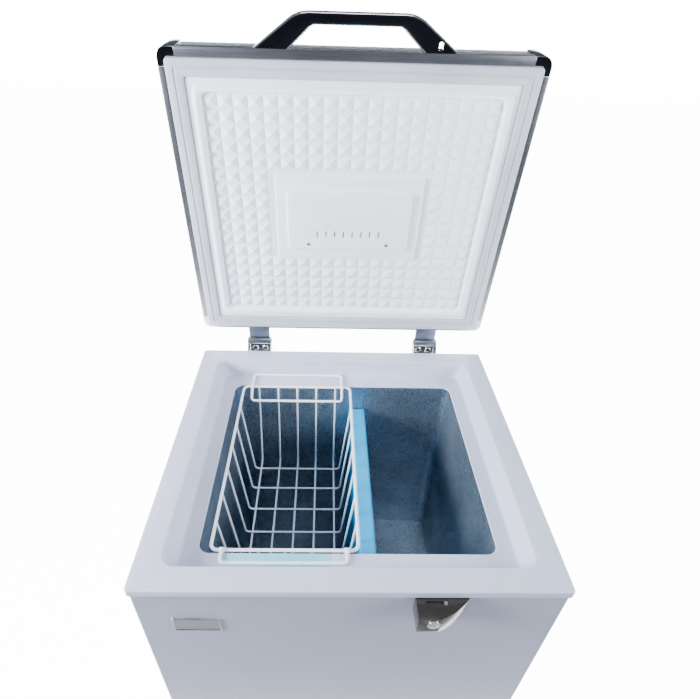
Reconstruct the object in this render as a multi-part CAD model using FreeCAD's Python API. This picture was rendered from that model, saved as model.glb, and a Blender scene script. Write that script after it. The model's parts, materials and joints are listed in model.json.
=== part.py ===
"""Chest freezer: cabinet, counterbalanced lid, wire basket, divider, lock and cooling circuit.

Millimetres. The pieces are modelled about the middle of the cabinet, with the floor at z = 0,
x to the right, y to the back and z up, and the lid is modelled shut and then swung open. At the
end every piece moves by one shift, so that the middle of the whole outline stands at the origin.
"""
import FreeCAD, Part
import math
import os

Vector = FreeCAD.Vector

# ---------------------------------------------------------------- driving dimensions
# cabinet
rim_width = 565.0
rim_depth = 507.0
rim_height = 800.0          # floor to the top of the rim
rim_corner = 6.0
well_corner = 18.0          # round of the basket well's corners
rim_overhang = 3.2          # how far the rim stands proud of the steel panels
rim_lip = 13.0              # height of the rim's outer lip
rim_wall = 2.6              # wall of the moulded rim
rim_flat_side = 36.5        # flat land that the gasket seals on, at the sides
rim_flat_end = 34.0         # the same, at the front and the back
well_slope_side = 10.0      # how far the well's side slopes lean inwards
well_slope_end = 2.0
ledge_drop = 35.0           # rim top down to the basket ledge
sheet = 0.8                 # painted steel sheet
panel_return = 14.0         # how far the front panel wraps round on to the sides
rear_return = 18.0          # the same for the rear panel
base_clearance = 30.0       # floor to the underside of the base pan
base_thickness = 1.2
fit = 0.1                   # clearance between pieces that are assembled face to face
seat_gap = 0.3              # clearance under a loose piece that rests on another

# liner (the cold cavity)
insulation_side = 71.5      # rim's outer edge in to the liner
insulation_front = 74.5
insulation_rear = 69.5
cavity_floor = 95.0
cavity_corner = 16.0
liner_wall = 1.0
step_width = 161.0          # raised floor over the compressor, in from the liner's right side
step_height = 333.0         # floor to the top of that step
step_insulation = 45.0

# lid, shut
lid_inset_side = 1.5        # rim's outer edge in to the lid's edge
lid_inset_front = 2.5
lid_inset_rear = 6.5
lid_thickness = 50.0
lid_corner = 14.0
seal_gap = 6.0              # rim top to the lid's underside when shut
seal_air = 0.3
trim_wall = 1.5
trim_height = 14.0
trim_flange = 13.0
cap_arm = 26.0
gasket_band = 24.0
gasket_inner_side = 34.5    # lid edge to the gasket's inner edge
gasket_inner_front = 37.0
gasket_inner_rear = 31.0
gasket_clearance = 0.6      # gasket's inner edge to the skin's border
lid_skin = 1.6              # vacuum-formed inner skin
border_proud = 2.0
bead_proud = 6.0
bead_width = 11.0
bead_inset = 8.0
field_recess = 4.0
lamp_panel = (248.0, 155.0)
lamp_panel_centre = 241.5   # from the lid's rear edge
lamp_cover_size = (210.0, 107.0)
lamp_cover_proud = 8.0
lamp_cover_wall = 1.5
lamp_slots = 8
lamp_slot_pitch = 15.3
lamp_slot_size = (2.2, 11.0)
lamp_slot_from_centre = 23.0
lamp_screw_half_pitch = 69.0
lamp_screw_from_centre = 43.0

# lid hinges
hinge_inset = 110.5         # rim's side edge in to the middle of a hinge
pivot_behind_rim = 27.0
pivot_above_rim = 6.0
open_angle = 84.59          # degrees from shut to the stored pose
pin_radius = 3.0
pin_clearance = 0.05
barrel_radius = 7.0
cheek_outer = 24.0
cheek_wall = 2.5
leaf_wall = 2.0
cheek_gap = 0.5
shelf_wall = 2.0
spring_below_rim = 62.0
spring_height = 38.0
spring_radius = 5.2
spring_wire = 1.2
spring_turns = 8

# lid handle
handle_reach = 45.0
handle_bar = 15.5
handle_base_half = 145.0
handle_base_inner = 95.0
handle_tip_half = 83.0
handle_tip_inner = 61.0
handle_thickness = 14.0
handle_round = 50.0
handle_inner_round = 8.0
latch_x = 118.0
latch_slot = (6.0, 11.0)
latch_slot_start = 3.0      # from the lid's front face

# lock
lock_left = 81.0
lock_face_right = 108.0
lock_right = 152.0
lock_depth = 29.2           # how far it stands out of the front panel
lock_height = 31.0
lock_top_below_rim = 14.0
cylinder_x = 100.5
cylinder_below_rim = 27.0
cylinder_radius = 8.0
cylinder_length = 17.0
bolt_size = (4.0, 5.0, 30.0)
bolt_slot_left = 93.0

# basket
basket_gap_left = 17.0      # liner's left side to the rail's middle line
basket_gap_right = 6.0      # rail's middle line to the divider
rail_radius = 2.5
rail_corner = 10.0
wire_radius = 1.75
basket_depth = 173.0
floor_inset = (17.5, 29.8)  # the basket's floor, in from its rail
wire_bend = 8.0
cross_wires = 6
cross_inset = (17.0, 28.0)  # first and last cross wires, in from the floor's front and rear
long_wires = 5
long_inset = 11.3           # outermost lengthwise wires, in from the floor's sides
grip_inset = 16.5           # grip's sides, in from the rail
grip_corner = 6.0
grip_reach_rear = 34.0      # rail to the outer bar that lies on the ledge
grip_reach_front = 21.0
grip_length = 63.0          # outer bar to inner bar, measured level
grip_drop = 11.0            # inner bar below the rail
sleeve_wall = 1.2
sleeve_clearance = 0.4      # sleeve to the ledge's edge
sleeve_length = 8.0

# divider
divider_thickness = 26.0
divider_from_step = 4.0
divider_top_below_rim = 92.0
divider_gap = 1.5
divider_wall = 2.0
divider_round = 4.0

# machinery bay
compressor_inset = (94.5, 133.5)    # rim's right and rear edges in to its axis
compressor_radius = 66.0
compressor_height = 150.0
can_round = 30.0
can_lift = 8.0              # mounting plate up to the underside of the can
compressor_wall = 3.0
core_radius = 32.0
mount_half = (62.0, 52.0)
grommet_height = 12.0
tube_radius = 3.2
tube_wall = 0.8
coil_levels = 6
coil_offset = 9.0
grille_border = 8.0
gland_radius = 8.0
cable_radius = 4.2
grille_slots = 9
grille_slot = (110.0, 6.0)
grille_pitch = 16.0
drain_inset = (132.5, 143.5)        # rim's left and front edges in to the drain
drain_level = 66.0
drain_bore = 7.0
drain_wall = 1.8
panel_box = (112.0, 48.0, 6.0)
panel_inset = 74.5          # rim's right edge in to the middle of the control panel
panel_z = 84.0
knob_from_panel = 30.0
knob_radius = 17.0
knob_height = 14.0
shaft_radius = 3.0
badge_size = (64.0, 31.0, 2.4)
badge_inset = (79.5, 87.0)  # rim's left edge and top to the badge's middle

# ---------------------------------------------------------------- derived places
rim_top = rim_height
rim_half_x = rim_width / 2
rim_half_y = rim_depth / 2
panel_half_x = rim_half_x - rim_overhang
panel_half_y = rim_half_y - rim_overhang
panel_top = rim_top - rim_wall - fit
ledge_z = rim_top - ledge_drop
well_top_x = rim_half_x - rim_flat_side
well_top_y = rim_half_y - rim_flat_end
well_low_x = well_top_x - well_slope_side
well_low_y = well_top_y - well_slope_end
base_top = base_clearance + base_thickness
cavity_half_width = rim_half_x - insulation_side
cavity_front = insulation_front - rim_half_y
cavity_rear = rim_half_y - insulation_rear
step_left = cavity_half_width - step_width
bay_left = step_left + step_insulation
bay_top = step_height - step_insulation
lid_under = rim_top + seal_gap
lid_top = lid_under + lid_thickness
lid_rear = rim_half_y - lid_inset_rear
lid_front = lid_inset_front - rim_half_y
lid_half = rim_half_x - lid_inset_side
hinge_x = rim_half_x - hinge_inset
pivot_y = rim_half_y + pivot_behind_rim
pivot_z = rim_top + pivot_above_rim
spring_low = rim_top - spring_below_rim
divider_left = step_left - divider_from_step - divider_thickness
rail_left = basket_gap_left - cavity_half_width
rail_right = divider_left - basket_gap_right
rail_end_gap = rail_radius + fit + sleeve_wall + sleeve_clearance
rail_half = ((rail_right - rail_left) / 2, (cavity_rear - cavity_front) / 2 - rail_end_gap)
floor_half = (rail_half[0] - floor_inset[0], rail_half[1] - floor_inset[1])
cross_pitch = (2 * floor_half[1] - cross_inset[0] - cross_inset[1]) / (cross_wires - 1)
long_pitch = 2 * (floor_half[0] - long_inset) / (long_wires - 1)
grip_half = rail_half[0] - grip_inset
basket_x = (rail_left + rail_right) / 2
basket_y = (cavity_front + cavity_rear) / 2
rail_z = ledge_z
basket_floor = rail_z - basket_depth
divider_top = rim_top - divider_top_below_rim
compressor_x = rim_half_x - compressor_inset[0]
compressor_y = rim_half_y - compressor_inset[1]
drain_x = drain_inset[0] - rim_half_x
drain_y = drain_inset[1] - rim_half_y
panel_x = rim_half_x - panel_inset
knob_x = panel_x + knob_from_panel
badge_centre = (badge_inset[0] - rim_half_x, -badge_inset[1])

parts = {}
panel_screws = []           # of the lock and of the rear grille


# ---------------------------------------------------------------- helpers
def box(x0, x1, y0, y1, z0, z1):
    """A block between two corners."""
    return Part.makeBox(x1 - x0, y1 - y0, z1 - z0, Vector(x0, y0, z0))


def outline(x0, x1, y0, y1, z, radius):
    """A level rectangle with rounded corners, as a wire."""
    r = min(radius, (x1 - x0) / 2 - 0.1, (y1 - y0) / 2 - 0.1)
    if r <= 0:
        corners = [(x0, y0), (x1, y0), (x1, y1), (x0, y1), (x0, y0)]
        return Part.makePolygon([Vector(x, y, z) for x, y in corners])
    edges = []
    centres = [(x1 - r, y0 + r, 270), (x1 - r, y1 - r, 0), (x0 + r, y1 - r, 90), (x0 + r, y0 + r, 180)]
    ends = []
    for cx, cy, start in centres:
        a, m, b = (math.radians(start + k) for k in (0, 45, 90))
        points = [Vector(cx + r * math.cos(t), cy + r * math.sin(t), z) for t in (a, m, b)]
        edges.append(Part.Arc(*points).toShape())
        ends.append((points[0], points[2]))
    joined = []
    for i, arc in enumerate(edges):
        joined.append(arc)
        joined.append(Part.makeLine(ends[i][1], ends[(i + 1) % 4][0]))
    return Part.Wire(joined)


def slab(x0, x1, y0, y1, z0, z1, radius):
    """A block with rounded upright edges."""
    return Part.Face(outline(x0, x1, y0, y1, z0, radius)).extrude(Vector(0, 0, z1 - z0))


def rod(start, direction, radius, length):
    """A round bar from a point along a direction."""
    return Part.makeCylinder(radius, length, Vector(*start), Vector(*direction))


def rounded_path(points, radius, closed=False):
    """Straight runs through the points, joined by tangent arcs of one radius.

    A point in the middle of a straight run has no corner, so it gets no arc.
    """
    points = [Vector(*p) for p in points]
    n = len(points)
    corners = range(n) if closed else range(1, n - 1)
    cut = {}
    for i in corners:
        before, here, after = points[i - 1], points[i], points[(i + 1) % n]
        to_before = (before - here).normalize()
        to_after = (after - here).normalize()
        half = to_before.getAngle(to_after) / 2
        if half > 1.57:
            continue
        back = radius / math.tan(half)
        middle = here + (to_before + to_after).normalize() * (radius / math.sin(half) - radius)
        cut[i] = (here + to_before * back, middle, here + to_after * back)
    edges = []
    for i in range(n if closed else n - 1):
        j = (i + 1) % n
        start = cut[i][2] if i in cut else points[i]
        end = cut[j][0] if j in cut else points[j]
        edges.append(Part.makeLine(start, end))
        if j in cut:
            edges.append(Part.Arc(*cut[j]).toShape())
    return Part.Wire(edges)


def wire_along(path, radius):
    """A round wire swept along a path."""
    edge = path.Edges[0]
    start = edge.valueAt(edge.FirstParameter)
    circle = Part.Wire(Part.makeCircle(radius, start, edge.tangentAt(edge.FirstParameter)))
    swept = path.makePipeShell([circle], True, True)
    if swept.Volume < 0:
        swept.reverse()
    return swept


def pipe(path, radius, wall):
    """A round tube swept along a path, open at both ends."""
    return wire_along(path, radius).cut(wire_along(path, radius - wall))


def profile_yz(points, x0, x1):
    """An outline drawn in the side view, extruded across the width."""
    wire = Part.makePolygon([Vector(x0, y, z) for y, z in points + points[:1]])
    return Part.Face(wire).extrude(Vector(x1 - x0, 0, 0))


def screw(seat, direction, head_radius, shank_radius, length):
    """A pan-head screw: the head stands on the seat, and the shank goes the other way."""
    out = Vector(*direction)
    head = Part.makeCylinder(head_radius, head_radius * 0.55, Vector(*seat), out)
    shank = Part.makeCylinder(shank_radius, length, Vector(*seat), out * -1)
    return head.fuse(shank).removeSplitter()


def drill(names, seat, direction, radius, length):
    """Clear one screw's hole through the named pieces."""
    hole = Part.makeCylinder(radius, length + 0.5, Vector(*seat) + Vector(*direction) * 0.3,
                             Vector(*direction) * -1)
    for name in names:
        parts[name] = parts[name].cut(hole)


def group(shapes):
    """Separate solids kept in one node."""
    return Part.makeCompound([solid for shape in shapes for solid in shape.Solids])


# ---------------------------------------------------------------- cabinet
def build_panels():
    """Front panel wrapped round on to the sides, two side panels and the rear panel."""
    x, y = panel_half_x, panel_half_y
    low, high = base_top + fit, panel_top
    ring = slab(-x, x, -y, y, low, high, rim_corner - rim_overhang)
    ring = ring.cut(slab(-x + sheet, x - sheet, -y + sheet, y - sheet, low - 1, high + 1,
                         rim_corner - rim_overhang - sheet))
    seam = -y + panel_return
    rear = y - sheet - fit
    parts["front_panel"] = ring.common(box(-x, x, -y, seam, low, high))
    parts["side_panel_left"] = ring.common(box(-x, -x / 2, seam + fit, rear - rear_return, low, high))
    parts["side_panel_right"] = ring.common(box(x / 2, x, seam + fit, rear - rear_return, low, high))
    back = ring.common(box(-x, x, rear - rear_return + fit, y, low, high))
    parts["rear_panel"] = back.cut(bay_opening(0, y - 5, y + 1))


def bay_opening(grow, y0, y1):
    """The opening behind the machinery bay, grown on every side."""
    return box(bay_left + 12 - grow, panel_half_x - 26 + grow, y0, y1, base_top + 14 - grow,
               bay_top - 14 + grow)


def cavity_solid(grow, top):
    """The liner's space, grown outwards by a wall, with the step over the compressor left out."""
    whole = slab(-cavity_half_width - grow, cavity_half_width + grow, cavity_front - grow,
                 cavity_rear + grow, cavity_floor - grow, top, cavity_corner + grow)
    step = box(step_left + grow, rim_half_x, -rim_half_y, rim_half_y, 0, step_height - grow)
    return whole.cut(step)


def build_liner():
    """The embossed aluminium tub, open at the top."""
    top = ledge_z - rim_wall - fit
    parts["inner_liner"] = cavity_solid(liner_wall, top).cut(cavity_solid(0, top + 1))


def leaning_block(halves_x, halves_y, low, high, radius):
    """A block about the middle that changes from its first half sizes to its second on the way up."""
    levels = []
    for x, y, z in zip(halves_x, halves_y, (low, high)):
        levels.append(outline(-x, x, -y, y, z, radius))
    return Part.makeLoft(levels, True)


def well_block(grow, low, high):
    """The basket well in the rim, down to the ledge, with its leaning sides."""
    return leaning_block((well_low_x + grow, well_top_x + grow), (well_low_y + grow, well_top_y + grow),
                         low, high, well_corner + grow)


def build_rim():
    """The moulded frame: sealing land, outer lip, sloping well and basket ledge."""
    lip = slab(-rim_half_x, rim_half_x, -rim_half_y, rim_half_y, rim_top - rim_lip, rim_top, rim_corner)
    hollow = slab(-rim_half_x + rim_wall, rim_half_x - rim_wall, -rim_half_y + rim_wall,
                  rim_half_y - rim_wall, rim_top - rim_lip - 1, rim_top - rim_wall, rim_corner - rim_wall)
    shell = lip.cut(hollow).fuse(well_block(rim_wall, ledge_z - rim_wall, rim_top))
    shell = shell.cut(well_block(0, ledge_z, rim_top))
    mouth = slab(-cavity_half_width, cavity_half_width, cavity_front, cavity_rear,
                 ledge_z - rim_wall - 1, ledge_z + 1, cavity_corner)
    parts["rim_frame"] = shell.cut(mouth).removeSplitter()


def build_foam():
    """Insulation in blocks round the liner, with the machinery bay left out, and four bars round the well."""
    x, y = panel_half_x - sheet - fit, panel_half_y - sheet - fit
    grow = rim_wall + fit
    seam = ledge_z - grow
    corner = rim_corner - rim_overhang - sheet
    low, reach = base_top + fit, liner_wall + fit
    side, step_side = cavity_half_width + reach, step_left + reach
    front, rear = cavity_front - reach, cavity_rear + reach
    body = slab(-x, x, -y, y, low, seam, corner)
    blocks = []
    for y0, y1 in ((-y, front), (rear, y)):
        blocks.append((-x, bay_left, y0, y1, low, seam))
        blocks.append((bay_left + fit, x, y0, y1, bay_top, seam))
    for x0, x1, z0, z1 in ((-x, -side, low, seam), (side, x, bay_top, seam),
                           (-side + fit, step_side - fit, low, cavity_floor - reach),
                           (step_side, bay_left, low, step_height - reach),
                           (bay_left + fit, side - fit, bay_top, step_height - reach)):
        blocks.append((x0, x1, front + fit, rear - fit, z0, z1))
    parts["foam_insulation"] = group(body.common(box(*block)) for block in blocks)
    band = slab(-x, x, -y, y, seam + fit, panel_top, corner)
    wide, deep = (rim_half_x, rim_half_x), (rim_half_y, rim_half_y)
    across = (well_low_y + grow, well_top_y + grow)
    along = (well_low_x + grow, well_top_x + grow)
    ends = band.cut(leaning_block(wide, across, seam, rim_top, 0))
    within = leaning_block(wide, (across[0] - fit, across[1] - fit), seam, rim_top, 0)
    sides = band.common(within).cut(leaning_block(along, deep, seam, rim_top, 0))
    parts["rim_foam"] = group((ends, sides))


def build_base():
    """Base pan and the four feet under it."""
    inset = sheet
    x, y = panel_half_x - inset, panel_half_y - inset
    parts["base_pan"] = slab(-x, x, -y, y, base_clearance, base_top, rim_corner - rim_overhang - inset)
    feet = []
    for sx in (-1, 1):
        for sy in (-1, 1):
            at = (sx * (x - 45), sy * (y - 45))
            pad = Part.makeCone(22, 19, 12, Vector(at[0], at[1], 0))
            stem = rod((at[0], at[1], 12), (0, 0, 1), 13, base_clearance - 12)
            feet.append(pad.fuse(stem).removeSplitter())
    parts["feet"] = group(feet)


def build_badge_and_tape():
    """The blank badge on the front, and the strip of film on the front ledge."""
    cx, below = badge_centre
    w, h, t = badge_size
    face = -panel_half_y
    z0, z1 = rim_top + below - h / 2, rim_top + below + h / 2
    bow = Part.Arc(Vector(cx + w / 2, face, z1), Vector(cx, face, z1 + 1.6),
                   Vector(cx - w / 2, face, z1)).toShape()
    sides = Part.makePolygon([Vector(cx - w / 2, face, z1), Vector(cx - w / 2, face, z0),
                              Vector(cx + w / 2, face, z0), Vector(cx + w / 2, face, z1)])
    parts["nameplate"] = Part.Face(Part.Wire([bow] + sides.Edges)).extrude(Vector(0, -t, 0))
    parts["ledge_tape"] = box(-175, -25, cavity_front - 22, cavity_front - 1, ledge_z, ledge_z + 0.15)


# ---------------------------------------------------------------- machinery bay
def compressor_can(shrink):
    """The compressor's can with its domed ends, drawn in by a wall."""
    can = rod((compressor_x, compressor_y, base_top + grommet_height + can_lift + shrink), (0, 0, 1),
              compressor_radius - shrink, compressor_height - 2 * shrink)
    ends = [e for e in can.Edges if e.isClosed()]
    return can.makeFillet(can_round - shrink, ends)


def build_compressor():
    """Hermetic compressor on rubber grommets, with its relay cover and filter drier."""
    plate_z = base_top + grommet_height
    mx, my = mount_half
    plate = slab(compressor_x - mx - 14, compressor_x + mx + 14, compressor_y - my - 14,
                 compressor_y + my + 14, plate_z, plate_z + 2.5, 10)
    pedestal = rod((compressor_x, compressor_y, plate_z), (0, 0, 1), 30, can_lift + 1)
    body = compressor_can(0).fuse(plate).fuse(pedestal).cut(compressor_can(compressor_wall))
    grommets = []
    for sx in (-1, 1):
        for sy in (-1, 1):
            at = (compressor_x + sx * mx, compressor_y + sy * my)
            body = body.cut(rod((at[0], at[1], plate_z - 1), (0, 0, 1), 6 + fit, 6))
            neck = rod((at[0], at[1], plate_z), (0, 0, 1), 6, 3.5)
            grommets.append(rod((at[0], at[1], base_top), (0, 0, 1), 11, grommet_height).fuse(neck))
    parts["compressor"] = body
    parts["compressor_grommets"] = group(grommets)
    core_low = plate_z + can_lift + compressor_wall + fit
    parts["motor_and_pump"] = rod((compressor_x, compressor_y, core_low), (0, 0, 1), core_radius,
                                  compressor_height * 0.8)
    cover = box(compressor_x - 24, compressor_x + 24, compressor_y - compressor_radius - 18,
                compressor_y - 40, plate_z + 52, plate_z + 108)
    parts["relay_cover"] = cover.cut(compressor_can(-fit))
    drier = rod((bay_left + 12, 30, bay_top - 24), (0, -1, 0), 9, 105)
    hanger = box(bay_left, bay_left + 5, 0, 14, bay_top - 34, bay_top - 14)
    parts["filter_drier"] = drier.fuse(hanger).removeSplitter()


def evaporator_path():
    """Turns of pipe round the liner, each stepping down to the next at the rear."""
    out = liner_wall + coil_offset
    x, y0, y1 = cavity_half_width + out, cavity_front - out, cavity_rear + out
    coil_pitch = (ledge_z - step_height - 60) / coil_levels
    points = []
    for level in range(coil_levels):
        z = ledge_z - 34 - level * coil_pitch
        points += [(-x + 40, y1, z), (-x, y1, z), (-x, y0, z), (x, y0, z), (x, y1, z),
                   (-x + 64, y1, z), (-x + 40, y1, z - coil_pitch / 2)]
    return rounded_path(points[:-1], 14)


def condenser_path(side):
    """Up and down runs of pipe just inside one side panel; side is -1 or 1."""
    x = side * (panel_half_x - sheet - fit - tube_radius - 3)
    low = bay_top + 30 if side > 0 else base_top + 40
    high = rim_top - 70
    points = []
    for i in range(7):
        y = -panel_half_y + 40 + i * 66
        ends = (low, high) if i % 2 == 0 else (high, low)
        points += [(x, y, ends[0]), (x, y, ends[1])]
    return rounded_path(points, 20)


def build_pipes():
    """The pipes buried in the foam, each in its own channel, and the short ones in the bay."""
    buried = [evaporator_path(), condenser_path(-1), condenser_path(1)]
    for path in buried:
        parts["foam_insulation"] = parts["foam_insulation"].cut(wire_along(path, tube_radius + fit))
    parts["evaporator_tube"] = pipe(buried[0], tube_radius, tube_wall)
    parts["condenser_tubes"] = group(pipe(path, tube_radius, tube_wall) for path in buried[1:])
    side_x = compressor_x - compressor_radius - 16
    stubs = []
    for y, z in ((compressor_y - 22, base_top + 92), (compressor_y + 22, base_top + 74)):
        points = [(bay_left, y, z + 70), (side_x, y, z + 70), (side_x, y, z), (compressor_x, y, z)]
        stubs.append(pipe(rounded_path(points, 8), tube_radius, tube_wall))
    parts["bay_tubes"] = group(stub.cut(compressor_can(-fit)) for stub in stubs)


def build_rear_grille():
    """The slotted cover over the bay's rear opening, with its screws and the cable gland."""
    face = panel_half_y
    grille = bay_opening(grille_border, face, face + sheet)
    edge = grille.BoundBox
    w, h = grille_slot
    for i in range(grille_slots):
        z = edge.Center.z + (i - (grille_slots - 1) / 2) * grille_pitch
        x = edge.Center.x
        grille = grille.cut(box(x - w / 2, x + w / 2, face - 1, face + 2, z - h / 2, z + h / 2))
    gland_at = (edge.XMin + 26, edge.ZMin + 26)
    grille = grille.cut(rod((gland_at[0], face - 1, gland_at[1]), (0, 1, 0), gland_radius, 4))
    parts["rear_grille"] = grille
    flange = rod((gland_at[0], face + sheet, gland_at[1]), (0, 1, 0), gland_radius + 3, 7)
    neck = rod((gland_at[0], face - 6, gland_at[1]), (0, 1, 0), gland_radius - fit, 8)
    bore = rod((gland_at[0], face - 8, gland_at[1]), (0, 1, 0), cable_radius, 20)
    parts["cable_gland"] = flange.fuse(neck).cut(bore).removeSplitter()
    for x in (edge.XMin + 4, edge.XMax - 4):
        for z in (edge.ZMin + 4, edge.ZMax - 4):
            seat = (x, face + sheet, z)
            drill(("rear_grille", "rear_panel"), seat, (0, 1, 0), 1.7 + fit, 6)
            panel_screws.append(screw(seat, (0, 1, 0), 3.6, 1.7, 5.5))


def build_drain():
    """Defrost drain: a bent tube from the cavity floor to the front, with a plug at each end."""
    outer = drain_bore + drain_wall
    front = -panel_half_y
    points = [(drain_x, drain_y, cavity_floor), (drain_x, drain_y, drain_level),
              (drain_x, front - 3, drain_level)]
    path = rounded_path(points, 16)
    sleeve = wire_along(path, outer + fit)
    for name in ("inner_liner", "foam_insulation", "front_panel"):
        parts[name] = parts[name].cut(sleeve)
    parts["drain_tube"] = pipe(path, outer, drain_wall)
    cap = rod((drain_x, drain_y, cavity_floor + seat_gap), (0, 0, 1), 13, 4)
    grip = box(drain_x - 6, drain_x + 6, drain_y - 1.5, drain_y + 1.5, cavity_floor + 3, cavity_floor + 12)
    stem = rod((drain_x, drain_y, cavity_floor + 1), (0, 0, -1), drain_bore - pin_clearance, 9)
    parts["drain_plug"] = cap.fuse(grip).fuse(stem).removeSplitter()
    cap = rod((drain_x, front - 3 - seat_gap, drain_level), (0, -1, 0), 13, 5)
    stem = rod((drain_x, front - 4, drain_level), (0, 1, 0), drain_bore - pin_clearance, 11)
    parts["drain_cap"] = cap.fuse(stem).removeSplitter()


def build_controls():
    """Thermostat panel low on the front, its knob and three indicator lamps."""
    w, h, t = panel_box
    face = -panel_half_y
    bezel = box(panel_x - w / 2, panel_x + w / 2, face - t, face, panel_z - h / 2, panel_z + h / 2)
    bezel = bezel.makeFillet(3, [e for e in bezel.Edges if abs(e.tangentAt(e.FirstParameter).y) > 0.9])
    bezel = bezel.cut(rod((knob_x, face + 1, panel_z), (0, -1, 0), shaft_radius + pin_clearance, t + 2))
    parts["front_panel"] = parts["front_panel"].cut(
        rod((knob_x, face + 3, panel_z), (0, -1, 0), shaft_radius + 1, 6))
    lamps = []
    for i in range(3):
        at = (panel_x - w / 2 + 16 + i * 15, face - t + 4, panel_z)
        bezel = bezel.cut(rod(at, (0, -1, 0), 3 + fit, 10))
        lamps.append(rod(at, (0, -1, 0), 3, 5))
    parts["control_bezel"] = bezel
    parts["indicator_lamps"] = group(lamps)
    foot = Vector(knob_x, face - t - seat_gap, panel_z)
    knob = Part.makeCone(knob_radius, knob_radius - 2, knob_height, foot, Vector(0, -1, 0))
    shaft = rod((knob_x, face - t - 1, panel_z), (0, 1, 0), shaft_radius, t + 14)
    parts["thermostat_knob"] = knob.fuse(shaft).removeSplitter()
    inner = face + sheet + fit
    body = box(knob_x - 16, knob_x + 16, inner, inner + 26, panel_z - 20, panel_z + 20)
    parts["thermostat"] = body.cut(
        rod((knob_x, inner - 1, panel_z), (0, 1, 0), shaft_radius + pin_clearance, 14))


# ---------------------------------------------------------------- lock
def build_lock():
    """Lock housing under the rim's front edge, with its key cylinder and rising bolt."""
    face = -panel_half_y
    nose = face - lock_depth
    z1 = rim_top - lock_top_below_rim
    z0 = z1 - lock_height
    curve = Part.Arc(Vector(lock_face_right, nose, z0), Vector(133, nose + 12, z0),
                     Vector(lock_right, face, z0)).toShape()
    rest = Part.makePolygon([Vector(lock_right, face, z0), Vector(lock_left, face, z0),
                             Vector(lock_left, nose, z0), Vector(lock_face_right, nose, z0)])
    housing = Part.Face(Part.Wire([curve] + rest.Edges)).extrude(Vector(0, 0, lock_height))
    bw, bd, bh = bolt_size
    bolt_y = lid_front - latch_slot_start - latch_slot[1] / 2
    gap = pin_clearance
    bolt_z = z1 - 0.5 - bh
    housing = housing.cut(box(latch_x - bw / 2 - gap, latch_x + bw / 2 + gap, bolt_y - bd / 2 - gap,
                              bolt_y + bd / 2 + gap, bolt_z, z1 + 1))
    housing = housing.cut(box(bolt_slot_left, latch_x + bw / 2 + gap, bolt_y - bd / 2 - gap,
                              bolt_y + bd / 2 + gap, z1 - 3, z1 + 1))
    key_z = rim_top - cylinder_below_rim
    housing = housing.cut(rod((cylinder_x, nose - 1, key_z), (0, 1, 0), cylinder_radius + pin_clearance,
                              cylinder_length + 1))
    parts["lock_housing"] = housing
    for x, z in ((lock_left + 5.5, z0 + 6), (lock_right - 14, z0 + 20)):
        seat = (x, face + sheet, z)
        drill(("front_panel", "lock_housing"), seat, (0, 1, 0), 1.7 + fit, 8.5)
        pocket = rod((x, face + sheet - 0.5, z), (0, 1, 0), 3.6 + fit, 3)
        for name in ("foam_insulation", "rim_foam"):
            parts[name] = parts[name].cut(pocket)
        panel_screws.append(screw(seat, (0, 1, 0), 3.6, 1.7, 8))
    plug = rod((cylinder_x, nose - 1.2, key_z), (0, 1, 0), cylinder_radius, cylinder_length + 1)
    key_slot = box(cylinder_x - 3.5, cylinder_x + 3.5, nose - 2, nose + 9, key_z - 0.9, key_z + 0.9)
    parts["lock_cylinder"] = plug.cut(key_slot)
    parts["lock_bolt"] = box(latch_x - bw / 2, latch_x + bw / 2, bolt_y - bd / 2, bolt_y + bd / 2,
                             bolt_z, bolt_z + bh)


# ---------------------------------------------------------------- lid, modelled shut
def lid_slab(inset, z0, z1):
    """A slab of the lid's outline drawn in by an inset."""
    return slab(-lid_half + inset, lid_half - inset, lid_front + inset, lid_rear - inset, z0, z1,
                lid_corner - inset)


def inner_slab(side, front, rear, z0, z1, radius):
    """A slab inside the lid, at its own distance from the sides, the front and the rear."""
    return slab(-lid_half + side, lid_half - side, lid_front + front, lid_rear - rear, z0, z1, radius)


def corner_zone(sx, front):
    """The square of one lid corner."""
    x = sorted((sx * (lid_half + 1), sx * (lid_half - cap_arm)))
    y = (lid_front - 1, lid_front + cap_arm) if front else (lid_rear - cap_arm, lid_rear + 1)
    return box(x[0], x[1], y[0], y[1], lid_under - 1, lid_top + 1)


def build_lid_shell():
    """Outer pan, the trim rails round its lower edge and the corner caps between them."""
    pan_inset = trim_wall + fit
    floor = lid_under + trim_wall + fit
    pan = lid_slab(pan_inset, floor, lid_top)
    parts["lid_outer_panel"] = pan.cut(lid_slab(pan_inset + sheet, floor - 1, lid_top - sheet))
    rail = lid_slab(0, lid_under, lid_under + trim_height)
    rail = rail.cut(lid_slab(trim_wall, lid_under + trim_wall, lid_top))
    rail = rail.cut(inner_slab(trim_flange, trim_flange, trim_flange, lid_under - 1, lid_top, 2))
    cap = lid_slab(0, lid_under, lid_top).cut(lid_slab(trim_wall, lid_under + trim_wall, lid_top + 1))
    cap = cap.cut(inner_slab(trim_flange, trim_flange, trim_flange, lid_under - 1, lid_top, 2))
    inner_x = lid_half - cap_arm - fit
    y0, y1 = lid_front + cap_arm + fit, lid_rear - cap_arm - fit
    low, high = lid_under - 1, lid_top
    parts["lid_trim_front"] = rail.common(box(-inner_x, inner_x, lid_front - 1, 0, low, high))
    parts["lid_trim_rear"] = rail.common(box(-inner_x, inner_x, 0, lid_rear + 1, low, high))
    parts["lid_trim_left"] = rail.common(box(-lid_half - 1, -200, y0, y1, low, high))
    parts["lid_trim_right"] = rail.common(box(200, lid_half + 1, y0, y1, low, high))
    parts["corner_caps_front"] = group(cap.common(corner_zone(sx, True)) for sx in (-1, 1))
    parts["corner_caps_rear"] = group(cap.common(corner_zone(sx, False)) for sx in (-1, 1))


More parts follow.
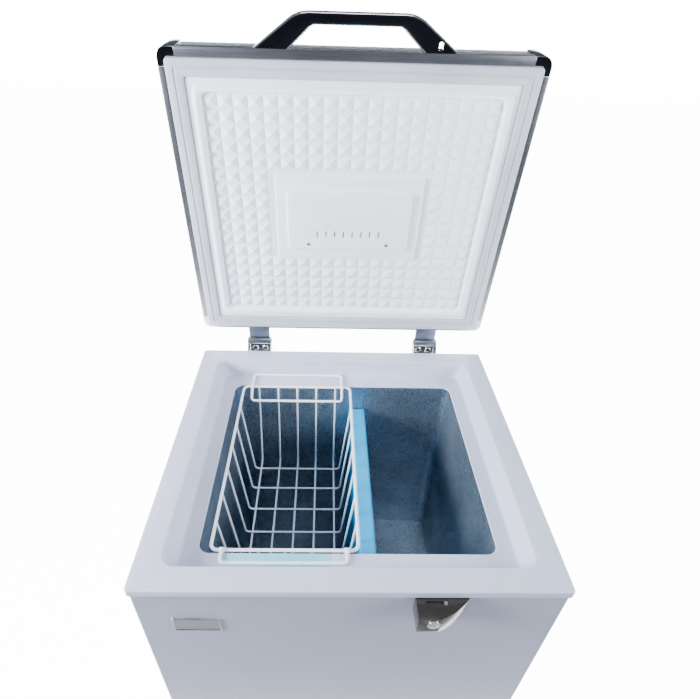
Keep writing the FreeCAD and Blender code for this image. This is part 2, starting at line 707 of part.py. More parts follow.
def build_lid_inside():
    """Vacuum-formed skin with its bead and recessed field, the gasket, the foam and the lamp."""
    b = bead_inset + bead_width
    side, front, rear = (inner + gasket_clearance for inner in
                         (gasket_inner_side, gasket_inner_front, gasket_inner_rear))
    border = inner_slab(side, front, rear, lid_under - border_proud, lid_under, 3)
    bead = inner_slab(side + bead_inset, front + bead_inset, rear + bead_inset,
                      lid_under - bead_proud, lid_under, 14)
    skirt = inner_slab(side + b - lid_skin, front + b - lid_skin, rear + b - lid_skin,
                       lid_under - bead_proud, lid_under + field_recess + lid_skin, 8 + lid_skin)
    anchor = inner_slab(trim_flange + fit, trim_flange + fit, trim_flange + fit, lid_under,
                        lid_under + lid_skin, 2)
    skin = anchor.fuse(border).fuse(bead).fuse(skirt)
    skin = skin.cut(inner_slab(side + b, front + b, rear + b, lid_under - bead_proud - 1,
                               lid_under + field_recess, 8)).removeSplitter()
    pw, ph = lamp_panel
    py = lid_rear - lamp_panel_centre
    panel_low = lid_under - 1.0
    skin = skin.fuse(slab(-pw / 2, pw / 2, py - ph / 2, py + ph / 2, panel_low,
                          lid_under + field_recess + 0.5, 4)).removeSplitter()
    parts["lid_liner"] = skin
    low = lid_under - seal_gap + seal_air
    ring = inner_slab(gasket_inner_side - gasket_band, gasket_inner_front - gasket_band,
                      gasket_inner_rear - gasket_band, low, lid_under, 4)
    parts["lid_gasket"] = ring.cut(inner_slab(gasket_inner_side, gasket_inner_front, gasket_inner_rear,
                                              low - 1, lid_under + 1, 2))
    pan_inset = trim_wall + fit + sheet + fit
    foam = lid_slab(pan_inset, lid_under + trim_wall + fit, lid_top - sheet - fit)
    foam = foam.cut(inner_slab(0, 0, 0, lid_under, lid_under + lid_skin + fit, 0))
    parts["lid_foam"] = foam.cut(inner_slab(side + b - lid_skin - fit, front + b - lid_skin - fit,
                                            rear + b - lid_skin - fit, lid_under,
                                            lid_under + field_recess + lid_skin + fit, 8 + lid_skin))
    build_lamp(py, panel_low)


def build_lamp(centre_y, panel_low):
    """Lamp cover with its slots, the lamp board under it and its two screws."""
    cw, ch = lamp_cover_size
    low = lid_under - lamp_cover_proud
    cover = slab(-cw / 2, cw / 2, centre_y - ch / 2, centre_y + ch / 2, low, panel_low, 7)
    rim_edges = [e for e in cover.Edges if abs(e.CenterOfMass.z - low) < 0.01]
    cover = cover.makeFillet(3, rim_edges)
    w = lamp_cover_wall
    cover = cover.cut(slab(-cw / 2 + w, cw / 2 - w, centre_y - ch / 2 + w, centre_y + ch / 2 - w,
                           low + w, panel_low + 1, 5))
    # lid_rear is nearest the hinges, so the slots and screws lie on that side of the cover
    slot_y = centre_y + lamp_slot_from_centre
    sw, sh = lamp_slot_size
    for i in range(lamp_slots):
        x = (i - (lamp_slots - 1) / 2) * lamp_slot_pitch
        cover = cover.cut(box(x - sw / 2, x + sw / 2, slot_y - sh / 2, slot_y + sh / 2,
                              low - 1, low + w + 1))
    screw_y = centre_y + lamp_screw_from_centre
    screws = []
    parts["lamp_cover"] = cover
    for sx in (-1, 1):
        seat = (sx * lamp_screw_half_pitch, screw_y, low)
        boss = Part.makeCylinder(4, panel_low - low, Vector(*seat))
        parts["lamp_cover"] = parts["lamp_cover"].fuse(boss)
        drill(("lamp_cover", "lid_liner"), seat, (0, 0, -1), 1.5 + fit, 9)
        screws.append(screw(seat, (0, 0, -1), 2.8, 1.5, 8.5))
    parts["lamp_screws"] = group(screws)
    board = box(-62, 62, centre_y - 22, centre_y - 2, panel_low - 1.6, panel_low)
    lamps = [box(x - 5, x + 5, centre_y - 17, centre_y - 7, panel_low - 3.2, panel_low - 1.6)
             for x in (-45, -15, 15, 45)]
    for lamp in lamps:
        board = board.fuse(lamp)
    parts["lamp_board"] = board.removeSplitter()


def build_handle():
    """Plated loop on the lid's front edge, with the latch slot and its screws."""
    z0 = lid_under
    y0 = lid_front
    y1 = lid_front - handle_reach
    y2 = y1 + handle_bar
    outer = rounded_face([(-handle_base_half, y0), (handle_base_half, y0), (handle_tip_half, y1),
                          (-handle_tip_half, y1)], (0, 0, handle_round, handle_round), z0)
    inner = rounded_face([(-handle_base_inner, y0 + 1), (handle_base_inner, y0 + 1),
                          (handle_tip_inner, y2), (-handle_tip_inner, y2)],
                         (0, 0, handle_inner_round, handle_inner_round), z0)
    loop = outer.extrude(Vector(0, 0, handle_thickness)).cut(
        inner.extrude(Vector(0, 0, handle_thickness + 1)))
    slot_y1 = lid_front - latch_slot_start
    slot_y0 = slot_y1 - latch_slot[1]
    half = latch_slot[0] / 2
    loop = loop.cut(box(latch_x - half, latch_x + half, slot_y0, slot_y1, z0 - 1,
                        z0 + handle_thickness + 1))
    loop = loop.cut(box(-latch_x - half, -latch_x + half, slot_y0, slot_y1, z0 - 1, z0 + 6))
    parts["lid_handle"] = loop.removeSplitter()
    screws = []
    z = lid_under + trim_height / 2 + 0.5
    for sx in (-1, 1):
        for x in (latch_x - 14, latch_x + 8.5):
            seat = (sx * x, lid_front + trim_wall + fit + sheet, z)
            names = ("lid_outer_panel", "lid_trim_front", "lid_handle", "lid_foam")
            drill(names, seat, (0, 1, 0), 2 + fit, 11)
            hollow = rod((seat[0], seat[1] - fit, z), (0, 1, 0), 3.6 + fit, 4)
            parts["lid_foam"] = parts["lid_foam"].cut(hollow)
            screws.append(screw(seat, (0, 1, 0), 3.6, 2, 10))
    parts["handle_screws"] = group(screws)


def rounded_face(points, radii, z):
    """A level face whose corners each have their own radius; 0 leaves a corner sharp."""
    edges = []
    n = len(points)
    corner = []
    for i in range(n):
        here = Vector(*points[i], z)
        if not radii[i]:
            corner.append((here, None, here))
            continue
        before = (Vector(*points[i - 1], z) - here).normalize()
        after = (Vector(*points[(i + 1) % n], z) - here).normalize()
        half = before.getAngle(after) / 2
        back = radii[i] / math.tan(half)
        middle = here + (before + after).normalize() * (radii[i] / math.sin(half) - radii[i])
        corner.append((here + before * back, middle, here + after * back))
    for i in range(n):
        start, middle, end = corner[i]
        if middle:
            edges.append(Part.Arc(start, middle, end).toShape())
        edges.append(Part.makeLine(end, corner[(i + 1) % n][0]))
    return Part.Face(Part.Wire(edges))


# ---------------------------------------------------------------- hinges
def build_hinges():
    """Counterbalanced hinges: cabinet leaf with two cheeks, pin, lid leaf with its barrel, spring."""
    back = panel_half_y
    cheek_inner = cheek_outer - cheek_wall
    leaf_low = rim_top - 78
    leaf_high = rim_top - rim_lip - 2
    cabinet, lid, pins, springs, cabinet_screws, lid_screws = [], [], [], [], [], []
    cheek_points = [(back, leaf_low), (back, leaf_high), (rim_half_y + 1.5, leaf_high + 2),
                    (pivot_y - 9, pivot_z + 2), (pivot_y, pivot_z + 9), (pivot_y + 9, pivot_z),
                    (pivot_y + 4, leaf_high - 6), (back + 14, leaf_low)]
    for side in (-1, 1):
        x = side * hinge_x
        leaf = box(x - cheek_outer, x + cheek_outer, back, back + leaf_wall, leaf_low, leaf_high)
        for cheek in ((x - cheek_outer, x - cheek_inner), (x + cheek_inner, x + cheek_outer)):
            leaf = leaf.fuse(profile_yz(cheek_points, *cheek))
        for shelf in (spring_low - shelf_wall, spring_low + spring_height):
            leaf = leaf.fuse(box(x - cheek_outer, x + cheek_outer, back, back + 20,
                                 shelf, shelf + shelf_wall))
        leaf = leaf.cut(rod((x - 40, pivot_y, pivot_z), (1, 0, 0), pin_radius + fit / 2, 80))
        cabinet.append(leaf.removeSplitter())
        pin_end = (x - cheek_outer - 1.5, pivot_y, pivot_z)
        pins.append(rod(pin_end, (1, 0, 0), pin_radius, 2 * cheek_outer + 3))
        spring_y = back + leaf_wall + 8
        rise = spring_height - 2 * spring_wire - 2 * fit
        coil = Part.makeHelix(rise / spring_turns, rise, spring_radius)
        coil.translate(Vector(x, spring_y, spring_low + spring_wire + fit))
        springs.append(wire_along(coil, spring_wire))
        barrel_half = cheek_inner - cheek_gap
        arm = box(x - barrel_half, x + barrel_half, lid_rear + 0.1, pivot_y, pivot_z + 2.2, pivot_z + 4.7)
        pad_low = lid_under + trim_height + fit
        plate = box(x - barrel_half, x + barrel_half, lid_rear + 0.1, lid_rear + 2.6, pivot_z + 2.2,
                    lid_top - 8)
        pad = box(x - barrel_half, x + barrel_half, lid_rear - trim_wall - fit, lid_rear + 1, pad_low,
                  lid_top - 8)
        barrel = rod((x - barrel_half, pivot_y, pivot_z), (1, 0, 0), barrel_radius, 2 * barrel_half)
        moving = barrel.fuse(arm).fuse(plate).fuse(pad)
        moving = moving.cut(rod((x - 40, pivot_y, pivot_z), (1, 0, 0), pin_radius + pin_clearance, 80))
        name = f"hinge {side}"
        parts[name] = moving.removeSplitter()
        for dx in (9 - barrel_half, barrel_half - 9):
            for z in (pad_low + 6, pad_low + 18):
                seat = (x + dx, lid_rear + 2.6, z)
                drill((name, "lid_outer_panel", "lid_foam"), seat, (0, 1, 0), 2 + fit, 13)
                lid_screws.append(screw(seat, (0, 1, 0), 3.8, 2, 12))
        lid.append(parts.pop(name))
        name = f"leaf {side}"
        parts[name] = cabinet.pop()
        for dx in (7 - cheek_inner, cheek_inner - 7):
            for z in (leaf_low + 7, leaf_high - 14.5):
                seat = (x + dx, back + leaf_wall, z)
                drill((name, "rear_panel", "foam_insulation", "rim_foam"), seat, (0, 1, 0), 2 + fit, 15)
                cabinet_screws.append(screw(seat, (0, 1, 0), 3.8, 2, 14))
        cabinet.append(parts.pop(name))
    parts["hinge_leaves_cabinet"] = group(cabinet)
    parts["hinge_leaves_lid"] = group(lid)
    parts["hinge_pins"] = group(pins)
    parts["hinge_springs"] = group(springs)
    parts["hinge_screws_cabinet"] = group(cabinet_screws)
    parts["hinge_screws_lid"] = group(lid_screws)


# ---------------------------------------------------------------- basket and divider
def build_basket():
    """Welded wire basket: top rail, cross wires and lengthwise wires, and its two swinging grips."""
    hx, hy = rail_half
    fx, fy = floor_half
    corners = [(basket_x + sx * hx, basket_y + sy * hy, rail_z) for sx, sy in
               ((0, 1), (-1, 1), (-1, -1), (1, -1), (1, 1))]
    rail = wire_along(rounded_path(corners, rail_corner, closed=True), rail_radius)
    parts["basket_rail"] = rail
    end_z = rail_z - rail_radius + 1
    crossing = []
    for i in range(cross_wires):
        y = basket_y - fy + cross_inset[0] + i * cross_pitch
        points = [(basket_x - hx, y, end_z), (basket_x - fx, y, basket_floor),
                  (basket_x + fx, y, basket_floor), (basket_x + hx, y, end_z)]
        crossing.append(wire_along(rounded_path(points, wire_bend), wire_radius).cut(rail))
    parts["basket_cross_wires"] = group(crossing)
    under = basket_floor - 2 * wire_radius - 0.05
    along = []
    for i in range(long_wires):
        x = basket_x + (i - (long_wires - 1) / 2) * long_pitch
        points = [(x, basket_y + hy, end_z), (x, basket_y + fy, under), (x, basket_y - fy, under),
                  (x, basket_y - hy, end_z)]
        along.append(wire_along(rounded_path(points, wire_bend), wire_radius).cut(rail))
    parts["basket_long_wires"] = group(along)
    parts["basket_grip_rear"] = build_grip(1, grip_reach_rear)
    parts["basket_grip_front"] = build_grip(-1, grip_reach_front)


def build_grip(side, reach):
    """One closed wire grip hung on the rail: its outer bar lies on the ledge; side is 1 at the rear."""
    rail_y = basket_y + side * rail_half[1]
    over = rail_z + 2 * rail_radius + fit
    outer_z = ledge_z + rail_radius + seat_gap
    outer_y = rail_y + side * reach
    inner_y = outer_y - side * grip_length
    x0, x1 = basket_x - grip_half, basket_x + grip_half
    inner_z = rail_z - grip_drop
    knee_y = rail_y + side * 8
    points = [(basket_x, outer_y, outer_z), (x1, outer_y, outer_z), (x1, knee_y, outer_z),
              (x1, rail_y, over), (x1, inner_y, inner_z), (x0, inner_y, inner_z), (x0, rail_y, over),
              (x0, knee_y, outer_z), (x0, outer_y, outer_z)]
    grip = wire_along(rounded_path(points, grip_corner, closed=True), rail_radius)
    bore = rail_radius + fit
    for x in (x0, x1):
        sleeve = rod((x - sleeve_length / 2, rail_y, rail_z), (1, 0, 0), bore + sleeve_wall, sleeve_length)
        grip = grip.fuse(sleeve)
    clear = rod((x0 - 20, rail_y, rail_z), (1, 0, 0), bore, x1 - x0 + 40)
    return grip.cut(clear).removeSplitter()


def build_divider():
    """Hollow blown divider that stands on the cavity floor beside the step."""
    y0, y1 = cavity_front + divider_gap, cavity_rear - divider_gap
    low = cavity_floor + seat_gap
    x1 = divider_left + divider_thickness
    block = box(divider_left, x1, y0, y1, low, divider_top)
    block = block.makeFillet(divider_round, block.Edges)
    w = divider_wall
    hollow = box(divider_left + w, x1 - w, y0 + w, y1 - w, low + w, divider_top - w)
    hollow = hollow.makeFillet(divider_round - w, hollow.Edges)
    parts["divider"] = block.cut(hollow)


# ---------------------------------------------------------------- assembly
lid_nodes = ("lid_outer_panel", "lid_trim_front", "lid_trim_rear", "lid_trim_left", "lid_trim_right",
             "corner_caps_front", "corner_caps_rear", "lid_foam", "lid_liner", "lid_gasket",
             "lamp_cover", "lamp_board", "lamp_screws", "lid_handle", "handle_screws",
             "hinge_leaves_lid", "hinge_screws_lid")
for build in (build_panels, build_liner, build_rim, build_foam, build_base, build_badge_and_tape,
              build_compressor, build_pipes, build_rear_grille, build_drain, build_controls,
              build_lock, build_lid_shell, build_lid_inside, build_handle, build_hinges,
              build_basket, build_divider):
    build()
parts["panel_screws"] = group(panel_screws)
for name in lid_nodes:
    parts[name].rotate(Vector(0, pivot_y, pivot_z), Vector(1, 0, 0), -open_angle)

front_most = parts["lock_cylinder"].BoundBox.YMin
rear_most = parts["corner_caps_rear"].optimalBoundingBox().YMax
shift = Vector(0, -(front_most + rear_most) / 2, 0)
os.makedirs("parts", exist_ok=True)
for name, shape in parts.items():
    shape.translate(shift)
    shape.exportStep(f"parts/{name}.step")
    print(f"{name}: {len(shape.Solids)} solids, {shape.Volume / 1000:.1f} cm3, valid {shape.isValid()}")
print(f"row shift y {shift.y:.4f}")
places = {"lid pivot": (0, pivot_y, pivot_z), "lock cylinder": (cylinder_x, 0, rim_top - cylinder_below_rim),
          "thermostat knob": (knob_x, 0, panel_z), "rear grip": (0, basket_y + rail_half[1], rail_z),
          "front grip": (0, basket_y - rail_half[1], rail_z)}
for name, place in places.items():
    moved = Vector(*place) + shift
    print(f"{name} at x {moved.x:.4f} y {moved.y:.4f} z {moved.z:.4f}")
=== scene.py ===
"""Finished looks of a compact chest freezer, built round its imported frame.

Each sub-assembly is a class. Its sizes are millimetres about the middle of the cabinet, with the
floor at height 0, and a Place turns them into the row frame. Pieces of the lid are drawn with the
lid shut, where its underside is level, and are swung open with it.
"""

import json
import logging
import math
from dataclasses import dataclass
from enum import Enum
from typing import Iterable, Optional, Sequence

import bmesh
import bpy
from mathutils import Matrix, Vector


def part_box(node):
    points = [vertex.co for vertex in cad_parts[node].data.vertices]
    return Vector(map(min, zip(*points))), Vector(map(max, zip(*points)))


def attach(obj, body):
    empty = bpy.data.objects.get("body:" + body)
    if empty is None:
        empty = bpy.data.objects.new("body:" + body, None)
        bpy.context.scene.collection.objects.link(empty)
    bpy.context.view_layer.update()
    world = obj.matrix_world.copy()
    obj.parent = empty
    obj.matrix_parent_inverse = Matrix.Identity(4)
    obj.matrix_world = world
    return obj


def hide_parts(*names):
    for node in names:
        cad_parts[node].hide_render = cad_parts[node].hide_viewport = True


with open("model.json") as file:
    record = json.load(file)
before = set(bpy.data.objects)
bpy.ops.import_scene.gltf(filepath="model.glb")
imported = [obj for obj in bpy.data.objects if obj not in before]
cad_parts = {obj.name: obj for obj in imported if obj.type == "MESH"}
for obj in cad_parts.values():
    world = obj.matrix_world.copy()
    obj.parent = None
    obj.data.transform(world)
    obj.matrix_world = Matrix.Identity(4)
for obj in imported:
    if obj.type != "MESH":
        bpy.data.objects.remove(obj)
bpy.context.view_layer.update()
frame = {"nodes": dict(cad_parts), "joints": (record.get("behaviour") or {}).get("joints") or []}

MM = 0.001
LOG = logging.getLogger("chest_freezer")
Colour = tuple[float, float, float]
Ring = list[Vector]


# ------------------------------------------------------------------ options
class Surface(Enum):
    """How a finish breaks up the light."""

    SMOOTH = "smooth"
    GRAINED = "grained"
    STUCCO = "stucco"
    BRUSHED = "brushed"


class Turn(Enum):
    """Which way a rounded edge sets off from its first ring."""

    UPRIGHT = "upright"
    LEVEL = "level"


class Facing(Enum):
    """The way a row of screw heads looks, as an Euler turn of a head that looks up."""

    DOWN = (math.pi, 0.0, 0.0)
    BACK = (-math.pi / 2, 0.0, 0.0)
    FRONT = (math.pi / 2, 0.0, 0.0)


# ------------------------------------------------------------------ placing
@dataclass(frozen=True)
class Place:
    """Where the cabinet's middle stands in the row frame, and how far the lid is open."""

    middle_y: float
    pivot: Vector
    opening: float

    @classmethod
    def from_frame(cls) -> "Place":
        """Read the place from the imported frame."""
        low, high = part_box("rim_frame")
        hinge = next(j for j in frame["joints"] if j["name"] == "lid_hinge")
        return cls((low.y + high.y) / 2, Vector(hinge["pos_m"]), math.radians(-hinge["range_deg"][0]))

    def cabinet(self) -> Matrix:
        """Matrix from cabinet millimetres to the row frame."""
        return Matrix.Translation((0.0, self.middle_y, 0.0)) @ Matrix.Scale(MM, 4)

    def lid(self) -> Matrix:
        """Matrix from the shut lid's millimetres to the open lid in the row frame."""
        turn = Matrix.Rotation(-self.opening, 4, "X")
        return Matrix.Translation(self.pivot) @ turn @ Matrix.Translation(-self.pivot) @ self.cabinet()


# ------------------------------------------------------------------ node graphs
class Graph:
    """A short way to add nodes to a shader or geometry tree."""

    def __init__(self, tree: bpy.types.NodeTree) -> None:
        """Keep the tree that nodes are added to."""
        self.tree = tree

    def add(self, kind: str, inputs: Optional[dict] = None, **settings: object) -> bpy.types.Node:
        """Add one node.

        Args:
            kind: Blender's name of the node type.
            inputs: value or source socket for each named or numbered input.
            settings: properties of the node itself.

        Returns:
            The new node.
        """
        node = self.tree.nodes.new(kind)
        for key, value in settings.items():
            setattr(node, key, value)
        for key, value in (inputs or {}).items():
            if isinstance(value, bpy.types.NodeSocket):
                self.tree.links.new(value, node.inputs[key])
            else:
                node.inputs[key].default_value = value
        return node

    def math(self, operation: str, first: object, second: object = 0.0) -> bpy.types.NodeSocket:
        """Add a maths node and return its result socket."""
        return self.add("ShaderNodeMath", {0: first, 1: second}, operation=operation).outputs[0]

    def spread(self, value: object, low: float, high: float) -> bpy.types.NodeSocket:
        """Stretch a value between two limits over 0 to 1, and return its socket."""
        inputs = {"Value": value, "From Min": low, "From Max": high}
        return self.add("ShaderNodeMapRange", inputs).outputs["Result"]


def group_sockets(tree: bpy.types.NodeTree, ins: dict[str, tuple[str, object]], outs: dict[str, str]) -> None:
    """Give a node group its named sockets.

    Args:
        tree: the group.
        ins: socket type and default value by input name.
        outs: socket type by output name.
    """
    for name, (kind, value) in ins.items():
        socket = tree.interface.new_socket(name=name, in_out="INPUT", socket_type=kind)
        if value is not None:
            socket.default_value = value
    for name, kind in outs.items():
        tree.interface.new_socket(name=name, in_out="OUTPUT", socket_type=kind)


FLOAT, COLOUR, GEOMETRY = "NodeSocketFloat", "NodeSocketColor", "NodeSocketGeometry"


class Effects:
    """The shader node groups that several finishes share, each built once."""

    def __init__(self) -> None:
        """Start with no group built."""
        self._built: dict[str, bpy.types.NodeTree] = {}

    def _start(self, name: str, ins: dict, outs: dict) -> tuple[bpy.types.NodeTree, Graph, dict]:
        """Open a new group and return it with its graph and its input sockets by name."""
        tree = bpy.data.node_groups.new(name, "ShaderNodeTree")
        group_sockets(tree, ins, outs)
        graph = Graph(tree)
        source = graph.add("NodeGroupInput")
        self._built[name] = tree
        return tree, graph, {s.name: s for s in source.outputs}

    def tone(self) -> bpy.types.NodeTree:
        """Slow drift between two tints. Inputs First, Second, Size; output Colour."""
        if "tone_drift" in self._built:
            return self._built["tone_drift"]
        ins = {"First": (COLOUR, None), "Second": (COLOUR, None), "Size": (FLOAT, 8.0)}
        tree, graph, given = self._start("tone_drift", ins, {"Colour": COLOUR})
        where = graph.add("ShaderNodeTexCoord").outputs["Object"]
        noise = graph.add("ShaderNodeTexNoise", {"Vector": where, "Scale": given["Size"], "Detail": 4.0})
        share = graph.spread(noise.outputs["Fac"], 0.35, 0.65)
        mix = graph.add("ShaderNodeMix", {0: share, 6: given["First"], 7: given["Second"]}, data_type="RGBA")
        graph.add("NodeGroupOutput", {"Colour": mix.outputs[2]})
        return tree

    def grain(self) -> bpy.types.NodeTree:
        """Fine moulded or sprayed grain. Input Size; output Height."""
        if "fine_grain" in self._built:
            return self._built["fine_grain"]
        tree, graph, given = self._start("fine_grain", {"Size": (FLOAT, 900.0)}, {"Height": FLOAT})
        where = graph.add("ShaderNodeTexCoord").outputs["Object"]
        noise = graph.add("ShaderNodeTexNoise", {"Vector": where, "Scale": given["Size"], "Detail": 3.0})
        graph.add("NodeGroupOutput", {"Height": noise.outputs["Fac"]})
        return tree

    def stucco(self) -> bpy.types.NodeTree:
        """Pebbled embossing of sheet aluminium. Input Size; outputs Height and Crest, which the material also
        uses to paint highlight on crests and shade in hollows.
        """
        if "stucco_emboss" in self._built:
            return self._built["stucco_emboss"]
        outs = {"Height": FLOAT, "Crest": FLOAT}
        tree, graph, given = self._start("stucco_emboss", {"Size": (FLOAT, 260.0)}, outs)
        where = graph.add("ShaderNodeTexCoord").outputs["Object"]
        noise = graph.add("ShaderNodeTexNoise", {"Vector": where, "Scale": 90.0, "Detail": 2.0})
        wander = graph.add("ShaderNodeVectorMath", {0: noise.outputs["Color"], 1: (0.004,) * 3},
                           operation="MULTIPLY")
        moved = graph.add("ShaderNodeVectorMath", {0: where, 1: wander.outputs[0]}, operation="ADD")
        cells = graph.add("ShaderNodeTexVoronoi", {"Vector": moved.outputs[0], "Scale": given["Size"]},
                          feature="SMOOTH_F1")
        crest = graph.spread(cells.outputs["Distance"], 0.75, 0.15)
        graph.add("NodeGroupOutput", {"Height": crest, "Crest": crest})
        return tree

    def brushed(self) -> bpy.types.NodeTree:
        """Long drawn scratches. Inputs Along, Across; outputs Height and Streak."""
        if "brushed_lines" in self._built:
            return self._built["brushed_lines"]
        ins = {"Along": (FLOAT, 12.0), "Across": (FLOAT, 1800.0)}
        tree, graph, given = self._start("brushed_lines", ins, {"Height": FLOAT, "Streak": FLOAT})
        where = graph.add("ShaderNodeTexCoord").outputs["Object"]
        scale = graph.add("ShaderNodeCombineXYZ", {0: given["Along"], 1: given["Across"], 2: given["Across"]})
        drawn = graph.add("ShaderNodeVectorMath", {0: where, 1: scale.outputs[0]}, operation="MULTIPLY")
        noise = graph.add("ShaderNodeTexNoise", {"Vector": drawn.outputs[0], "Scale": 1.0, "Detail": 4.0})
        graph.add("NodeGroupOutput", {"Height": noise.outputs["Fac"],
                                      "Streak": graph.spread(noise.outputs["Fac"], 0.3, 0.7)})
        return tree

    def wear_and_highlight(self) -> bpy.types.NodeTree:
        """Rubbed outer edges, also used as a painted highlight on bright edges. Input Amount; output Mask."""
        if "edge_wear" in self._built:
            return self._built["edge_wear"]
        tree, graph, given = self._start("edge_wear", {"Amount": (FLOAT, 0.3)}, {"Mask": FLOAT})
        where = graph.add("ShaderNodeTexCoord").outputs["Object"]
        noise = graph.add("ShaderNodeTexNoise", {"Vector": where, "Scale": 60.0, "Detail": 5.0})
        edge = graph.spread(graph.add("ShaderNodeNewGeometry").outputs["Pointiness"], 0.515, 0.58)
        patchy = graph.math("MULTIPLY", edge, graph.spread(noise.outputs["Fac"], 0.35, 0.6))
        graph.add("NodeGroupOutput", {"Mask": graph.math("MULTIPLY", patchy, given["Amount"])})
        return tree

    def dust(self) -> bpy.types.NodeTree:
        """Thin dust on what faces up. Input Amount; output Mask."""
        if "settled_dust" in self._built:
            return self._built["settled_dust"]
        tree, graph, given = self._start("settled_dust", {"Amount": (FLOAT, 0.1)}, {"Mask": FLOAT})
        texture = graph.add("ShaderNodeTexCoord")
        up = graph.add("ShaderNodeSeparateXYZ", {0: texture.outputs["Normal"]}).outputs[2]
        noise = graph.add("ShaderNodeTexNoise", {"Vector": texture.outputs["Object"], "Scale": 35.0,
                                                 "Detail": 6.0})
        spots = graph.spread(noise.outputs["Fac"], 0.4, 0.75)
        lying = graph.math("MULTIPLY", graph.spread(up, 0.5, 1.0), spots)
        graph.add("NodeGroupOutput", {"Mask": graph.math("MULTIPLY", lying, given["Amount"])})
        return tree


# ------------------------------------------------------------------ finishes
@dataclass(frozen=True)
class Finish:
    """One finish: its two tints, its gloss and how its surface is worked."""

    name: str
    first: Colour
    second: Colour
    roughness: float
    surface: Surface = Surface.SMOOTH
    metallic: float = 0.0
    size: float = 900.0
    depth: float = 0.02
    reach: float = 0.001
    wear_and_highlight: float = 0.0
    worn_and_highlight_tint: Colour = (0.9, 0.9, 0.92)
    dust: float = 0.05
    coat: float = 0.0
    alpha: float = 1.0
    glow: float = 0.0
    subsurface: float = 0.0
    specular: float = 0.5


class Paintshop:
    """Makes the material of each finish, once."""

    def __init__(self) -> None:
        """Start with an empty shelf and the shared effects."""
        self.effects = Effects()
        self._made: dict[str, bpy.types.Material] = {}

    def _group(self, graph: Graph, tree: bpy.types.NodeTree, inputs: dict) -> bpy.types.Node:
        """Place a node group in a material with its own values."""
        node = graph.add("ShaderNodeGroup", node_tree=tree)
        for key, value in inputs.items():
            node.inputs[key].default_value = value
        return node

    def material(self, finish: Finish) -> bpy.types.Material:
        """Return the material of a finish.

        Args:
            finish: the finish wanted.

        Returns:
            A node material with colour drift, roughness, relief, rubbed edges that on the badge are a painted
            edge highlight, and dust.
        """
        if finish.name in self._made:
            return self._made[finish.name]
        material = bpy.data.materials.new(finish.name)
        material.use_nodes = True
        graph = Graph(material.node_tree)
        shader = material.node_tree.nodes["Principled BSDF"]
        tone = self._group(graph, self.effects.tone(), {"First": (*finish.first, 1.0),
                                                        "Second": (*finish.second, 1.0), "Size": 9.0})
        colour = tone.outputs["Colour"]
        relief, streak = self._relief(graph, finish)
        rough = graph.spread(streak, 0.0, 1.0)
        rough.node.inputs["To Min"].default_value = max(finish.roughness - 0.06, 0.02)
        rough.node.inputs["To Max"].default_value = min(finish.roughness + 0.06, 1.0)
        # On stucco the crest mask lays the first tint on the crests and the second in the hollows: painted
        # highlight and painted shade. On brushed metal the same mix follows the drawn streaks as grain.
        if finish.surface in (Surface.STUCCO, Surface.BRUSHED):
            shade = graph.add("ShaderNodeMix", {0: streak, 6: (*finish.second, 1.0), 7: (*finish.first, 1.0)},
                              data_type="RGBA")
            colour = graph.add("ShaderNodeMix", {0: 0.6, 6: colour, 7: shade.outputs[2]},
                               data_type="RGBA").outputs[2]
        # Rubbed edges: real rubbing on most finishes; on the badge a painted highlight on the raised border.
        if finish.wear_and_highlight > 0:
            wear_and_highlight = self._group(graph, self.effects.wear_and_highlight(), {"Amount": finish.wear_and_highlight})
            colour = graph.add("ShaderNodeMix", {0: wear_and_highlight.outputs["Mask"], 6: colour, 7: (*finish.worn_and_highlight_tint, 1.0)},
                               data_type="RGBA").outputs[2]
        dust = self._group(graph, self.effects.dust(), {"Amount": finish.dust})
        colour = graph.add("ShaderNodeMix", {0: dust.outputs["Mask"], 6: colour, 7: (0.62, 0.62, 0.60, 1.0)},
                           data_type="RGBA").outputs[2]
        bump = graph.add("ShaderNodeBump", {"Height": relief, "Strength": finish.depth,
                                            "Distance": finish.reach})
        links = material.node_tree.links
        links.new(colour, shader.inputs["Base Color"])
        links.new(rough, shader.inputs["Roughness"])
        links.new(bump.outputs["Normal"], shader.inputs["Normal"])
        shader.inputs["Metallic"].default_value = finish.metallic
        shader.inputs["Coat Weight"].default_value = finish.coat
        shader.inputs["Coat Roughness"].default_value = 0.12
        shader.inputs["Specular IOR Level"].default_value = finish.specular
        shader.inputs["Alpha"].default_value = finish.alpha
        shader.inputs["Subsurface Weight"].default_value = finish.subsurface
        shader.inputs["Subsurface Radius"].default_value = (0.004, 0.006, 0.008)
        if finish.glow > 0:
            links.new(colour, shader.inputs["Emission Color"])
            shader.inputs["Emission Strength"].default_value = finish.glow
        self._made[finish.name] = material
        return material

    def _relief(self, graph: Graph, finish: Finish) -> tuple[bpy.types.NodeSocket, bpy.types.NodeSocket]:
        """Return the height and the light and dark streak of a finish's surface."""
        if finish.surface is Surface.STUCCO:
            node = self._group(graph, self.effects.stucco(), {"Size": finish.size})
            return node.outputs["Height"], node.outputs["Crest"]
        if finish.surface is Surface.BRUSHED:
            node = self._group(graph, self.effects.brushed(), {"Along": 14.0, "Across": finish.size})
            return node.outputs["Height"], node.outputs["Streak"]
        node = self._group(graph, self.effects.grain(), {"Size": finish.size})
        return node.outputs["Height"], node.outputs["Height"]


# Enamel tinted darker than the rim moulding of the same grey-lavender: painted shade for the dimmer light on
# the upright panels.
ENAMEL_WITH_PAINTED_SHADE = Finish("shell_enamel", (0.33, 0.36, 0.50), (0.32, 0.35, 0.485), 0.30, Surface.GRAINED, size=700.0,
                depth=0.012, coat=0.3, dust=0.0)
RIM = Finish("rim_moulding", (0.50, 0.53, 0.66), (0.47, 0.50, 0.64), 0.34, size=500.0, depth=0.03, coat=0.2)
